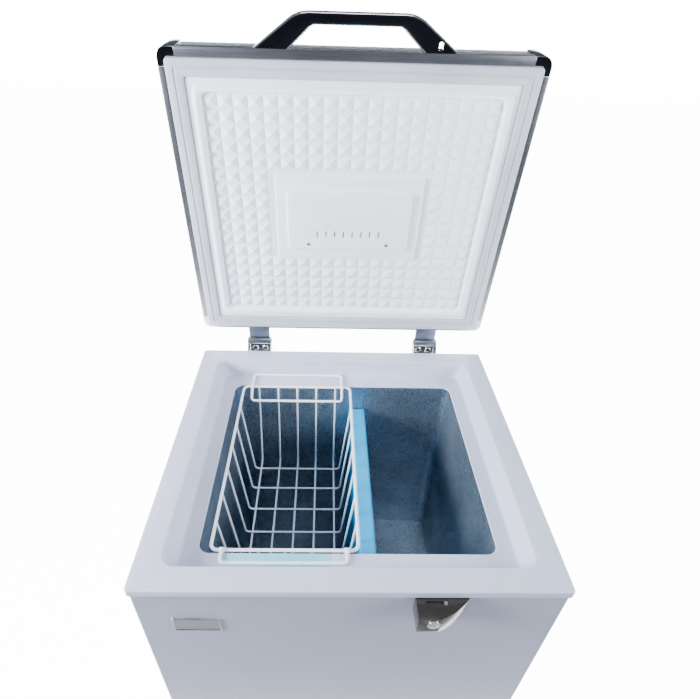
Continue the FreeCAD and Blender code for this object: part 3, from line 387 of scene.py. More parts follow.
# The light first tint goes on the stucco crests and the dark second one in the hollows: painted highlight and
# painted shade.
STUCCO_ALUMINIUM = Finish("liner_stucco", (0.50, 0.60, 0.70), (0.17, 0.23, 0.30), 0.34, Surface.STUCCO,
                          metallic=0.9, size=380.0, depth=0.6, reach=0.0012, dust=0.0)
ZINC = Finish("zinc_plate", (0.24, 0.28, 0.32), (0.14, 0.17, 0.20), 0.30, Surface.GRAINED, metallic=1.0,
              size=260.0, depth=0.08, wear_and_highlight=0.3)
# Plated chrome with a near-black tint: a painted reflection standing for the dark surroundings it mirrors.
CHROME_DARK_REFLECTION = Finish("black_chrome", (0.070, 0.075, 0.100), (0.050, 0.055, 0.080), 0.07, metallic=1.0, size=200.0,
                depth=0.01, dust=0.0, coat=0.1)
# A painted highlight: lighter metal laid on the bevels of the plated pieces.
EDGE_HIGHLIGHT = Finish("polished_edge", (0.70, 0.72, 0.78), (0.55, 0.57, 0.63), 0.16, metallic=1.0, size=200.0,
                     depth=0.01, dust=0.0)
TRIM = Finish("brushed_trim", (0.20, 0.21, 0.24), (0.13, 0.14, 0.165), 0.32, Surface.BRUSHED, metallic=0.9,
              size=2200.0, depth=0.08, dust=0.0)
WHITE = Finish("white_moulding", (0.84, 0.87, 0.94), (0.81, 0.84, 0.92), 0.36, size=600.0, depth=0.03,
               subsurface=0.05, dust=0.0)
COATED_WIRE = Finish("white_dip_coating", (0.84, 0.87, 0.92), (0.76, 0.80, 0.87), 0.30, Surface.GRAINED,
                     size=420.0, depth=0.1, coat=0.3, dust=0.0)
VINYL = Finish("gasket_vinyl", (0.44, 0.47, 0.52), (0.38, 0.41, 0.46), 0.55, Surface.GRAINED, size=380.0,
               depth=0.08, dust=0.0)
LOCK = Finish("lock_moulding", (0.022, 0.019, 0.017), (0.015, 0.013, 0.012), 0.20, size=500.0,
              depth=0.02, coat=0.2, dust=0.0)
BRIGHT_STEEL = Finish("bright_steel", (0.62, 0.63, 0.66), (0.46, 0.47, 0.50), 0.25, Surface.BRUSHED,
                      metallic=1.0, size=2600.0, depth=0.05, wear_and_highlight=0.3)
BLACK_ENAMEL = Finish("black_enamel", (0.028, 0.028, 0.031), (0.018, 0.018, 0.021), 0.38, Surface.GRAINED,
                      size=320.0, depth=0.12, wear_and_highlight=0.3, worn_and_highlight_tint=(0.3, 0.3, 0.3), dust=0.25)
BLACK_PLASTIC = Finish("black_moulding", (0.030, 0.030, 0.034), (0.020, 0.020, 0.023), 0.45,
                       Surface.GRAINED, size=900.0, depth=0.15, wear_and_highlight=0.2, worn_and_highlight_tint=(0.2, 0.2, 0.2), dust=0.12)
RUBBER = Finish("black_rubber", (0.022, 0.022, 0.023), (0.014, 0.014, 0.015), 0.72, Surface.GRAINED,
                size=700.0, depth=0.2, dust=0.2)
COPPER = Finish("copper_pipe", (0.62, 0.30, 0.18), (0.42, 0.19, 0.11), 0.28, Surface.GRAINED, metallic=1.0,
                size=240.0, depth=0.05, dust=0.1)
PIPE_STEEL = Finish("steel_pipe", (0.40, 0.41, 0.43), (0.30, 0.31, 0.33), 0.35, Surface.GRAINED,
                    metallic=1.0, size=240.0, depth=0.05)
FOAM = Finish("rigid_foam", (0.80, 0.70, 0.42), (0.72, 0.61, 0.34), 0.85, Surface.STUCCO, size=420.0,
              depth=0.5, dust=0.0)
BLUE_PLASTIC = Finish("divider_blue", (0.0005, 0.36, 0.66), (0.0005, 0.29, 0.60), 0.55, Surface.GRAINED,
                      size=260.0, depth=0.10, dust=0.0, specular=0.15)
FILM = Finish("clear_film", (0.20, 0.72, 0.86), (0.42, 0.86, 0.94), 0.18, Surface.GRAINED, size=150.0,
              depth=0.6, coat=0.6, alpha=0.62, dust=0.0)
# Strong edge rubbing with the light tint brightens the raised border's rounded edges: a painted highlight on
# dark plate metal.
BADGE = Finish("badge_plate", (0.34, 0.35, 0.38), (0.26, 0.27, 0.30), 0.28, Surface.BRUSHED, metallic=1.0,
               size=1800.0, depth=0.04, wear_and_highlight=0.9, dust=0.0)
LENS = Finish("lamp_lens", (0.12, 0.50, 0.20), (0.08, 0.38, 0.14), 0.15, size=400.0, coat=0.8, dust=0.0)

NODE_FINISH: dict[str, Finish] = {
    "front_panel": ENAMEL_WITH_PAINTED_SHADE, "side_panel_left": ENAMEL_WITH_PAINTED_SHADE, "side_panel_right": ENAMEL_WITH_PAINTED_SHADE, "rear_panel": ENAMEL_WITH_PAINTED_SHADE,
    "inner_liner": STUCCO_ALUMINIUM, "foam_insulation": FOAM, "rim_foam": FOAM,
    "lid_foam": FOAM, "base_pan": ZINC,
    "rear_grille": ENAMEL_WITH_PAINTED_SHADE, "hinge_springs": BRIGHT_STEEL, "hinge_pins": BRIGHT_STEEL,
    "compressor": BLACK_ENAMEL, "compressor_grommets": RUBBER, "motor_and_pump": BRIGHT_STEEL,
    "relay_cover": BLACK_PLASTIC, "filter_drier": COPPER, "bay_tubes": COPPER,
    "evaporator_tube": PIPE_STEEL, "condenser_tubes": PIPE_STEEL, "thermostat": BLACK_PLASTIC,
    "drain_tube": WHITE, "lock_bolt": BRIGHT_STEEL,
    "handle_screws": BRIGHT_STEEL, "divider": BLUE_PLASTIC, "ledge_tape": FILM, "lamp_board": WHITE,
}


# ------------------------------------------------------------------ shaping
def outline(half_x: float, y0: float, y1: float, radius: float, z: float, steps: int = 8) -> Ring:
    """A level rounded rectangle.

    Args:
        half_x: half its width.
        y0: its front edge.
        y1: its rear edge.
        radius: radius of its corners.
        z: its height.
        steps: pieces in each corner.

    Returns:
        Its points, anticlockwise seen from above.
    """
    r = max(min(radius, half_x - 0.01, (y1 - y0) / 2 - 0.01), 0.01)
    ring: Ring = []
    corners = ((half_x - r, y0 + r, -90), (half_x - r, y1 - r, 0), (r - half_x, y1 - r, 90),
               (r - half_x, y0 + r, 180))
    for cx, cy, start in corners:
        for step in range(steps + 1):
            angle = math.radians(start + 90 * step / steps)
            ring.append(Vector((cx + r * math.cos(angle), cy + r * math.sin(angle), z)))
    return ring


def round_over(start: Ring, end: Ring, turn: Turn, steps: int = 5) -> list[Ring]:
    """Rings of a quarter-round edge between two rings.

    Args:
        start: the ring the edge sets off from.
        end: the ring it arrives at.
        turn: whether it sets off upright or level.
        steps: rings along the edge.

    Returns:
        The rings from start to end, both included.
    """
    rings = []
    for step in range(steps + 1):
        angle = math.pi / 2 * step / steps
        upright, level = (math.sin(angle), 1 - math.cos(angle))
        if turn is Turn.LEVEL:
            upright, level = level, upright
        ring = []
        for a, b in zip(start, end):
            ring.append(Vector((a.x + (b.x - a.x) * level, a.y + (b.y - a.y) * level,
                                a.z + (b.z - a.z) * upright)))
        rings.append(ring)
    return rings


def shade(mesh: bpy.types.Mesh, crease: float = 32.0) -> None:
    """Shade a mesh smooth, but keep edges sharper than an angle crisp."""
    work = bmesh.new()
    work.from_mesh(mesh)
    for face in work.faces:
        face.smooth = True
    limit = math.radians(crease)
    for edge in work.edges:
        edge.smooth = len(edge.link_faces) == 2 and edge.calc_face_angle(0.0) < limit
    work.to_mesh(mesh)
    work.free()


def link(name: str, mesh: bpy.types.Mesh) -> bpy.types.Object:
    """Put a mesh into the scene as an object at the origin."""
    piece = bpy.data.objects.new(name, mesh)
    bpy.context.scene.collection.objects.link(piece)
    return piece


def lofted(name: str, rings: Sequence[Ring], where: Matrix, loop: bool = False) -> bpy.types.Object:
    """Join rings with equal numbers of points into one closed piece.

    Args:
        name: name of the piece.
        rings: the rings in order.
        where: matrix that places them.
        loop: True joins the last ring to the first; False closes both ends.

    Returns:
        The piece.
    """
    work = bmesh.new()
    rows = [[work.verts.new(where @ point) for point in ring] for ring in rings]
    pairs = list(zip(rows, rows[1:])) + ([(rows[-1], rows[0])] if loop else [])
    count = len(rows[0])
    for low, high in pairs:
        for i in range(count):
            j = (i + 1) % count
            work.faces.new((low[i], low[j], high[j], high[i]))
    if not loop:
        work.faces.new(rows[0])
        work.faces.new(rows[-1])
    bmesh.ops.remove_doubles(work, verts=work.verts, dist=1e-7)
    bmesh.ops.recalc_face_normals(work, faces=work.faces)
    mesh = bpy.data.meshes.new(name)
    work.to_mesh(mesh)
    work.free()
    shade(mesh)
    return link(name, mesh)


def settled(piece: bpy.types.Object, name: str, crease: float = 32.0) -> bpy.types.Object:
    """Turn a piece with live modifiers into a plain mesh piece.

    Args:
        piece: the working object, which is removed.
        name: name of the plain piece.
        crease: angle from which an edge stays crisp, in degrees.

    Returns:
        The plain piece.
    """
    bpy.context.view_layer.update()
    mesh = bpy.data.meshes.new_from_object(piece.evaluated_get(bpy.context.evaluated_depsgraph_get()))
    bpy.data.objects.remove(piece)
    mesh.name = name
    shade(mesh, crease)
    return link(name, mesh)


def carve(piece: bpy.types.Object, tool: bpy.types.Object) -> bpy.types.Object:
    """Cut a tool's shape out of a piece and remove the tool."""
    cut = piece.modifiers.new("cut", "BOOLEAN")
    cut.operation, cut.object, cut.solver = "DIFFERENCE", tool, "EXACT"
    name = piece.name
    piece.name = name + "_uncut"
    done = settled(piece, name)
    bpy.data.objects.remove(tool)
    return done


def joined(pieces: Sequence[bpy.types.Object]) -> bpy.types.Object:
    """Put several pieces into the first of them, under its name."""
    first = pieces[0]
    work = bmesh.new()
    for piece in pieces:
        work.from_mesh(piece.data)
    work.to_mesh(first.data)
    work.free()
    for piece in pieces[1:]:
        bpy.data.objects.remove(piece)
    return first


def softened(node: str, width: float, segments: int = 3, angle: float = 35.0) -> bpy.types.Object:
    """Copy a frame node and round its edges a little.

    Args:
        node: the frame node.
        width: width of the rounding in millimetres.
        segments: faces across the rounding.
        angle: the sharpest bend that stays as it is, in degrees.

    Returns:
        The rounded piece, which is yet to ride on a body.
    """
    mesh = frame["nodes"][node].data.copy()
    work = bmesh.new()
    work.from_mesh(mesh)
    bmesh.ops.remove_doubles(work, verts=work.verts, dist=2e-6)
    bmesh.ops.dissolve_limit(work, angle_limit=math.radians(0.6), verts=work.verts, edges=work.edges)
    work.to_mesh(mesh)
    work.free()
    mesh.materials.clear()
    piece = link(node + "_blank", mesh)
    bevel = piece.modifiers.new("rounding", "BEVEL")
    bevel.width, bevel.segments = width * MM, segments
    bevel.limit_method, bevel.angle_limit = "ANGLE", math.radians(angle)
    bevel.use_clamp_overlap = True
    return settled(piece, node + "_finished", 40.0)


# ------------------------------------------------------------------ geometry node tools
class Patterns:
    """The geometry node trees that make what repeats or follows a path."""

    def __init__(self) -> None:
        """Build the three trees."""
        self.wire = self._wire_tree()
        self.pyramids = self._pyramid_tree()
        self.heads = self._head_tree()

    @staticmethod
    def _open(name: str, ins: dict) -> tuple[bpy.types.NodeTree, Graph, dict]:
        """Open a geometry tree and return it with its graph and its input sockets."""
        tree = bpy.data.node_groups.new(name, "GeometryNodeTree")
        group_sockets(tree, {"Geometry": (GEOMETRY, None), **ins}, {"Geometry": GEOMETRY})
        graph = Graph(tree)
        source = graph.add("NodeGroupInput")
        return tree, graph, {s.name: s for s in source.outputs}

    @staticmethod
    def _close(graph: Graph, geometry: bpy.types.NodeSocket, material: bpy.types.NodeSocket) -> None:
        """End a tree in Realize Instances and Set Material."""
        real = graph.add("GeometryNodeRealizeInstances", {"Geometry": geometry})
        done = graph.add("GeometryNodeSetMaterial", {"Geometry": real.outputs[0], "Material": material})
        graph.add("NodeGroupOutput", {"Geometry": done.outputs[0]})

    def _wire_tree(self) -> bpy.types.NodeTree:
        """Round wire along a bent path. Inputs Radius, Bend, Sides and Finish."""
        ins = {"Radius": (FLOAT, 0.002), "Bend": (FLOAT, 0.008), "Sides": ("NodeSocketInt", 12),
               "Finish": ("NodeSocketMaterial", None)}
        tree, graph, given = self._open("bent_wire", ins)
        bent = graph.add("GeometryNodeFilletCurve", {"Curve": given["Geometry"], "Radius": given["Bend"],
                                                     "Count": 6, "Limit Radius": True}, mode="POLY")
        ring = graph.add("GeometryNodeCurvePrimitiveCircle", {"Resolution": given["Sides"],
                                                              "Radius": given["Radius"]})
        wire = graph.add("GeometryNodeCurveToMesh", {"Curve": bent.outputs[0],
                                                     "Profile Curve": ring.outputs[0],
                                                     "Fill Caps": True})
        self._close(graph, wire.outputs[0], given["Finish"])
        return tree

    def _pyramid_tree(self) -> bpy.types.NodeTree:
        """A field of pyramids round a bare panel, apexes down, sized by its named inputs."""
        ins = {"Columns": ("NodeSocketInt", 20), "Rows": ("NodeSocketInt", 17), "Pitch X": (FLOAT, 0.02),
               "Pitch Y": (FLOAT, 0.02), "Height": (FLOAT, 0.005), "Apex": (FLOAT, 0.0006),
               "Panel X": (FLOAT, 0.124), "Panel Y": (FLOAT, 0.0775), "Panel Middle": (FLOAT, 0.0),
               "Finish": ("NodeSocketMaterial", None)}
        tree, graph, given = self._open("pyramid_field", ins)
        across = graph.math("MULTIPLY", graph.math("SUBTRACT", given["Columns"], 1.0), given["Pitch X"])
        along = graph.math("MULTIPLY", graph.math("SUBTRACT", given["Rows"], 1.0), given["Pitch Y"])
        grid = graph.add("GeometryNodeMeshGrid", {"Size X": across, "Size Y": along,
                                                  "Vertices X": given["Columns"],
                                                  "Vertices Y": given["Rows"]})
        place = graph.add("ShaderNodeSeparateXYZ", {0: graph.add("GeometryNodeInputPosition").outputs[0]})
        from_panel = graph.math("ABSOLUTE", graph.math("SUBTRACT", place.outputs[1], given["Panel Middle"]))
        in_x = graph.math("LESS_THAN", graph.math("ABSOLUTE", place.outputs[0]), given["Panel X"])
        in_y = graph.math("LESS_THAN", from_panel, given["Panel Y"])
        bare = graph.add("GeometryNodeDeleteGeometry", {"Geometry": grid.outputs[0],
                                                        "Selection": graph.math("MULTIPLY", in_x, in_y)})
        half_diagonal = math.sqrt(0.5)
        cone = graph.add("GeometryNodeMeshCone", {"Vertices": 4, "Radius Top": given["Apex"],
                                                  "Radius Bottom": half_diagonal, "Depth": given["Height"]})
        square = graph.add("GeometryNodeTransform", {"Geometry": cone.outputs[0],
                                                     "Rotation": (math.pi, 0.0, math.pi / 4)})
        size = graph.add("ShaderNodeCombineXYZ", {0: given["Pitch X"], 1: given["Pitch Y"], 2: 1.0})
        field = graph.add("GeometryNodeInstanceOnPoints", {"Points": bare.outputs[0],
                                                           "Instance": square.outputs[0],
                                                           "Scale": size.outputs[0]})
        self._close(graph, field.outputs[0], given["Finish"])
        return tree

    def _head_tree(self) -> bpy.types.NodeTree:
        """Screw heads on points. Inputs Head, Size, Facing and Finish."""
        ins = {"Head": ("NodeSocketObject", None), "Size": (FLOAT, 0.003),
               "Facing": ("NodeSocketVector", None), "Finish": ("NodeSocketMaterial", None)}
        tree, graph, given = self._open("screw_heads", ins)
        head = graph.add("GeometryNodeObjectInfo", {"Object": given["Head"]})
        points = graph.add("GeometryNodeMeshToPoints", {"Mesh": given["Geometry"]})
        turned = graph.add("FunctionNodeEulerToRotation", {0: given["Facing"]})
        row = graph.add("GeometryNodeInstanceOnPoints", {"Points": points.outputs[0],
                                                         "Instance": head.outputs["Geometry"],
                                                         "Rotation": turned.outputs[0],
                                                         "Scale": given["Size"]})
        self._close(graph, row.outputs[0], given["Finish"])
        return tree

    @staticmethod
    def run(tree: bpy.types.NodeTree, base: bpy.types.Object, name: str, values: dict[str, object],
            crease: float = 32.0) -> bpy.types.Object:
        """Run a tree on a base object and keep the result as a plain mesh.

        Args:
            tree: the geometry tree.
            base: the object that carries it, which is removed.
            name: name of the finished piece.
            values: value of each named input.
            crease: angle from which an edge stays crisp, in degrees.

        Returns:
            The finished piece.
        """
        modifier = base.modifiers.new("pattern", "NODES")
        modifier.node_group = tree
        for item in tree.interface.items_tree:
            if item.item_type == "SOCKET" and item.in_out == "INPUT" and item.name in values:
                modifier[item.identifier] = values[item.name]
        return settled(base, name, crease)


# ------------------------------------------------------------------ assemblies
@dataclass
class Assembly:
    """What every sub-assembly shares: its place, its finishes and its patterns."""

    place: Place
    shop: Paintshop
    patterns: Patterns

    def fit(self, piece: bpy.types.Object, body: str, finish: Finish, slot: str, *nodes: str) -> None:
        """Finish a piece, tie it to its body and hide the frame nodes it replaces.

        Args:
            piece: the piece, in place.
            body: the body it rides on.
            finish: its finish.
            slot: the record's material slot; not used.
            nodes: the frame nodes it replaces.
        """
        piece.data.materials.clear()
        piece.data.materials.append(self.shop.material(finish))
        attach(piece, body)
        if nodes:
            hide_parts(*nodes)
        LOG.info("%s rides on %s, %d faces", piece.name, body, len(piece.data.polygons))

    def soften(self, node: str, body: str, finish: Finish, slot: str, width: float = 0.6) -> None:
        """Replace a frame node by itself with rounded edges."""
        self.fit(softened(node, width), body, finish, slot, node)

    def wire(self, name: str, paths: Iterable[Sequence[Vector]], radius: float, bend: float,
             closed: bool) -> bpy.types.Object:
        """Bend round wire along paths.

        Args:
            name: name of the piece.
            paths: corner points of each wire, in cabinet millimetres.
            radius: wire radius in millimetres.
            bend: bend radius in millimetres.
            closed: True where each wire joins up with its own start.

        Returns:
            The wires as one plain piece.
        """
        curve = bpy.data.curves.new(name, "CURVE")
        curve.dimensions = "3D"
        for path in paths:
            spline = curve.splines.new("POLY")
            spline.points.add(len(path) - 1)
            for point, corner in zip(spline.points, path):
                point.co = (*(self.place.cabinet() @ corner), 1.0)
            spline.use_cyclic_u = closed
        base = link(name + "_path", curve)
        values = {"Radius": radius * MM, "Bend": bend * MM, "Sides": 14,
                  "Finish": self.shop.material(COATED_WIRE)}
        return Patterns.run(self.patterns.wire, base, name, values, 50.0)

    def screws(self, name: str, seats: Iterable[Vector], radius: float, facing: Facing,
               where: Matrix) -> bpy.types.Object:
        """Set cross-recessed heads on their seats.

        Args:
            name: name of the piece.
            seats: middle of each head's underside, in millimetres.
            radius: head radius in millimetres.
            facing: the way the heads look before the matrix turns them.
            where: matrix from millimetres to the row frame.

        Returns:
            The heads as one plain piece.
        """
        mesh = bpy.data.meshes.new(name)
        mesh.from_pydata([where @ seat for seat in seats], [], [])
        base = link(name + "_seats", mesh)
        turn = where.to_3x3().normalized() @ Matrix.Rotation(facing.value[0], 3, "X")
        head = screw_head(name + "_master")
        values = {"Head": head, "Size": radius * MM, "Facing": tuple(turn.to_euler()),
                  "Finish": self.shop.material(BRIGHT_STEEL)}
        piece = Patterns.run(self.patterns.heads, base, name, values)
        bpy.data.objects.remove(head)
        return piece


def screw_head(name: str) -> bpy.types.Object:
    """Make a pan head of radius 1 that looks up, with a cross recess."""
    levels = ((1.0, 0.0), (1.0, 0.28), (0.95, 0.40), (0.80, 0.50), (0.50, 0.55))
    rings = []
    for radius, height in levels:
        turn = [2 * math.pi * k / 24 for k in range(24)]
        rings.append([Vector((radius * math.cos(a), radius * math.sin(a), height)) for a in turn])
    arm, half = 0.55, 0.13
    plan = [(half, half), (half, arm), (-half, arm), (-half, half), (-arm, half), (-arm, -half),
            (-half, -half), (-half, -arm), (half, -arm), (half, -half), (arm, -half), (arm, half)]
    cross = [[Vector((x, y, z)) for x, y in plan] for z in (0.25, 0.8)]
    tool = lofted(name + "_cross", cross, Matrix.Identity(4))
    return carve(lofted(name, rings, Matrix.Identity(4)), tool)


@dataclass
class Cabinet(Assembly):
    """Rim, painted shell, liner and everything fixed to them."""

    half_width: float = 282.5
    half_depth: float = 253.5
    top: float = 800.0
    lip: float = 13.0
    corner: float = 6.0
    well_corner: float = 18.0
    wall: float = 2.6
    edge: float = 3.2
    well: tuple[float, float] = (246.0, 219.5)
    well_foot: tuple[float, float] = (236.0, 217.5)
    ledge: float = 35.0
    mouth: tuple[float, float, float, float] = (211.0, -179.0, 184.0, 16.0)
    badge: tuple[float, float, float] = (-203.0, 713.0, 2.4)
    badge_half: tuple[float, float] = (32.0, 15.5)
    panel_face: float = 250.3
    grille_screw: tuple[float, float, float, float] = (103.0, 257.3, 41.2, 278.0)
    lock_screw: tuple[tuple[float, float], ...] = ((86.5, 761.0), (138.0, 775.0))

    def build(self) -> None:
        """Make the cabinet's pieces in order."""
        self.fit(self.rim(), "cabinet", RIM, "rim_plastic", "rim_frame")
        self.fit(self.nameplate(), "cabinet", BADGE, "badge_metal", "nameplate")
        for node, finish, slot in (("control_bezel", WHITE, "white_plastic"),
                                   ("indicator_lamps", LENS, "lamp_lens"),
                                   ("feet", BLACK_PLASTIC, "black_plastic"),
                                   ("cable_gland", BLACK_PLASTIC, "black_plastic")):
            self.soften(node, "cabinet", finish, slot)
        self.soften("thermostat_knob", "knob", BLACK_PLASTIC, "black_plastic", 0.8)
        self.soften("drain_cap", "drain_outlet_cap", WHITE, "white_plastic", 0.8)
        self.soften("drain_plug", "drain_stopper", WHITE, "white_plastic", 0.8)
        seats = [Vector((x, self.panel_face + 0.8, z)) for x in self.grille_screw[:2]
                 for z in self.grille_screw[2:]]
        seats += [Vector((x, -self.panel_face + 0.8, z)) for x, z in self.lock_screw]
        heads = self.screws("panel_screw_heads", seats, 3.6, Facing.BACK, self.place.cabinet())
        self.fit(heads, "cabinet", BRIGHT_STEEL, "bolt_steel", "panel_screws")

    def _rect(self, half_x: float, half_y: float, radius: float, z: float) -> Ring:
        """A ring about the cabinet's middle."""
        return outline(half_x, -half_y, half_y, radius, z)

    def rim(self) -> bpy.types.Object:
        """The moulded frame, with its lip, sealing land, sloping well and ledge, all softly rounded."""
        w, d, top, e = self.half_width, self.half_depth, self.top, self.edge
        (wx, wy), (fx, fy), floor = self.well, self.well_foot, self.top - self.ledge
        mx, my0, my1, mr = self.mouth
        lean_x, lean_y = (wx - fx) / self.ledge, (wy - fy) / self.ledge
        slope = lambda z: (fx + lean_x * (z - floor), fy + lean_y * (z - floor))
        rings = [self._rect(w - 0.8, d - 0.8, self.corner, top - self.lip),
                 self._rect(w, d, self.corner, top - self.lip + 0.8)]
        rings += round_over(self._rect(w, d, self.corner, top - e),
                            self._rect(w - e, d - e, self.corner - e, top), Turn.UPRIGHT)
        x, y = slope(top - 2.4)
        rings += round_over(self._rect(wx + 2.4, wy + 2.4, self.well_corner + 2.4, top),
                            self._rect(x, y, self.well_corner, top - 2.4), Turn.LEVEL)
        x, y = slope(floor + 4)
        rings += round_over(self._rect(x, y, self.well_corner, floor + 4),
                            self._rect(fx - 4, fy - 3.2, self.well_corner - 4, floor), Turn.UPRIGHT)
        rings += round_over(outline(mx + 1.5, my0 - 1.5, my1 + 1.5, mr + 1.5, floor),
                            outline(mx, my0, my1, mr, floor - 1.5), Turn.LEVEL)
        under = self.wall
        rings += [outline(mx, my0, my1, mr, floor - under),
                  self._rect(fx + under, fy + under, self.well_corner + under, floor - under),
                  self._rect(wx + under, wy + under, self.well_corner + under, top - under),
                  self._rect(w - under, d - under, self.corner - under, top - under),
                  self._rect(w - under, d - under, self.corner - under, top - self.lip)]
        return lofted("rim_moulding", rings, self.place.cabinet(), loop=True)

    def nameplate(self) -> bpy.types.Object:
        """The blank badge: a bowed plate with a raised border round a sunken field."""
        (hx, hy), (cx, cz, thick) = self.badge_half, self.badge

        def bowed(inset: float, radius: float, z: float) -> Ring:
            """One ring of the plate, its upper edge bowed."""
            ring = outline(hx - inset, inset - hy, hy - inset, radius, z)
            for point in ring:
                point.y += 1.5 * (1 - (point.x / hx) ** 2) * max(point.y / hy, 0.0)
            return ring

        rings = [bowed(0.0, 2.4, 0.0), bowed(0.0, 2.4, thick - 1.1)]
        rings += round_over(bowed(0.0, 2.4, thick - 1.0), bowed(1.2, 1.6, thick), Turn.UPRIGHT)
        rings += [bowed(2.4, 1.4, thick), bowed(2.9, 1.2, thick - 0.6)]
        where = Matrix.Translation((cx, -self.panel_face, cz)) @ Matrix.Rotation(math.pi / 2, 4, "X")
        return lofted("blank_badge", rings, self.place.cabinet() @ where)


@dataclass
class Lock(Assembly):
    """Housing on the front with its key cylinder."""

    def build(self) -> None:
        """Make the lock's pieces."""
        self.soften("lock_housing", "cabinet", LOCK, "lock_plastic", 0.9)
        self.soften("lock_cylinder", "key_cylinder", BRIGHT_STEEL, "bolt_steel", 0.4)


@dataclass
class Lid(Assembly):
    """Everything that swings on the hinges, drawn shut."""

    half: float = 281.0
    front: float = -251.0
    rear: float = 247.0
    under: float = 806.0
    thick: float = 50.0
    corner: float = 14.0
    gasket_inner: tuple[float, float, float] = (34.5, 37.0, 31.0)
    gasket_band: float = 24.0
    gasket_low: float = 800.3
    bead_inset: float = 8.0
    bead_width: float = 11.0
    bead_proud: float = 6.0
    border_proud: float = 2.0
    recess: float = 4.0
    skin: float = 1.6
    panel: tuple[float, float] = (248.0, 155.0)
    panel_middle: float = 5.5
    columns: int = 20
    rows: int = 17
    handle_outer: tuple[float, float] = (145.0, 83.0)
    handle_inner: tuple[float, float] = (95.0, 61.0)
    handle_reach: float = 45.0
    handle_bar: float = 15.5
    handle_thick: float = 14.0
    latch_x: float = 118.0

    def build(self) -> None:
        """Make the lid's pieces in order."""
        self.fit(self.pan(), "lid", ENAMEL_WITH_PAINTED_SHADE, "shell_paint", "lid_outer_panel")
        self.fit(self.inner_skin(), "lid", WHITE, "white_plastic", "lid_liner")
        self.fit(self.pyramids(), "lid", WHITE, "white_plastic")
        self.fit(self.lamp_panel(), "lid", WHITE, "white_plastic")
        self.fit(self.gasket(), "lid", VINYL, "gasket_vinyl", "lid_gasket")
        pull = self.handle()
        self.fit(pull, "lid", CHROME_DARK_REFLECTION, "chrome_plate", "lid_handle")
        self.paint_edge_highlights(pull)
        for node in ("lid_trim_front", "lid_trim_rear", "lid_trim_left", "lid_trim_right"):
            self.soften(node, "lid", TRIM, "trim_metal", 0.5)
        caps = softened("corner_caps_front", 0.9)
        self.fit(caps, "lid", CHROME_DARK_REFLECTION, "chrome_plate", "corner_caps_front")
        self.paint_edge_highlights(caps)
        self.soften("corner_caps_rear", "lid", WHITE, "white_plastic", 0.5)
        self.soften("lamp_cover", "lid", WHITE, "white_plastic", 0.4)
        seats = [Vector((x, self.panel_middle + 43.0, self.under - 8.0)) for x in (-69.0, 69.0)]
        heads = self.screws("lamp_screw_heads", seats, 2.8, Facing.DOWN, self.place.lid())
        self.fit(heads, "lid", BRIGHT_STEEL, "bolt_steel", "lamp_screws")

    def paint_edge_highlights(self, piece: bpy.types.Object) -> None:
        """Give the rounded edges of a plated piece a brighter metal: a painted highlight for the light their
        bevels catch.
        """
        piece.data.materials.append(self.shop.material(EDGE_HIGHLIGHT))
        upright = self.place.lid().to_3x3().normalized().col[2]
        for face in piece.data.polygons:
            lean = abs(face.normal.dot(upright))
            face.material_index = 1 if 0.15 < lean < 0.97 else 0

    def ring(self, side: float, front: float, rear: float, radius: float, z: float) -> Ring:
        """A ring inside the lid's outline, with its own distance from each edge."""
        return outline(self.half - side, self.front + front, self.rear - rear, radius, z)

    def even(self, inset: float, radius: float, z: float) -> Ring:
        """A ring drawn in by the same distance all round."""
        return self.ring(inset, inset, inset, radius, z)

    def pan(self) -> bpy.types.Object:
        """The painted outer pan with its soft upper edge."""
        edge = 6.0
        low, high = self.under + 1.6, self.under + self.thick
        inset, sheet = 1.6, 0.8
        rings = [self.even(inset + sheet, self.corner - 2, high - sheet),
                 self.even(inset + sheet, self.corner - 2, low),
                 self.even(inset, self.corner - inset, low)]
        rings += round_over(self.even(inset, self.corner - inset, high - edge),
                            self.even(inset + edge, self.corner - edge, high), Turn.UPRIGHT, 6)
        return lofted("lid_pan", rings, self.place.lid())

    def inner_skin(self) -> bpy.types.Object:
        """The formed skin: border, rounded bead and the sunken field."""
        s, f, r = (g + 0.6 for g in self.gasket_inner)
        field = self.under + self.recess
        low = self.under - self.border_proud
        at = lambda inset, radius, z: self.ring(s + inset, f + inset, r + inset, radius, z)
        b, w = self.bead_inset, self.bead_width
        rings = [at(b + w + 2, 10.0, field + self.skin), at(b + w - self.skin, 10.0, field + self.skin),
                 at(b + w - self.skin, 10.0, self.under + self.skin),
                 self.even(13.1, 4.0, self.under + self.skin),
                 self.even(13.1, 4.0, self.under), at(0.0, 3.0, self.under)]
        rings += round_over(at(0.0, 3.0, low + 1.2), at(1.2, 3.0, low), Turn.UPRIGHT, 3)
        for step in range(13):
            turn = math.pi * step / 12
            drop = (self.bead_proud - self.border_proud) * math.sin(turn) ** 0.8
            lift = (field - low) * max(0.0, (step - 6) / 6) ** 2 * 0.35 if step > 6 else 0.0
            rings.append(at(b + w * (1 - math.cos(turn)) / 2, 14.0 - 3 * step / 12, low - drop + lift))
        rings += round_over(at(b + w + 0.4, 11.0, low + 2.4), at(b + w + 3.0, 9.0, field), Turn.UPRIGHT, 4)
        return lofted("lid_inner_skin", rings, self.place.lid())

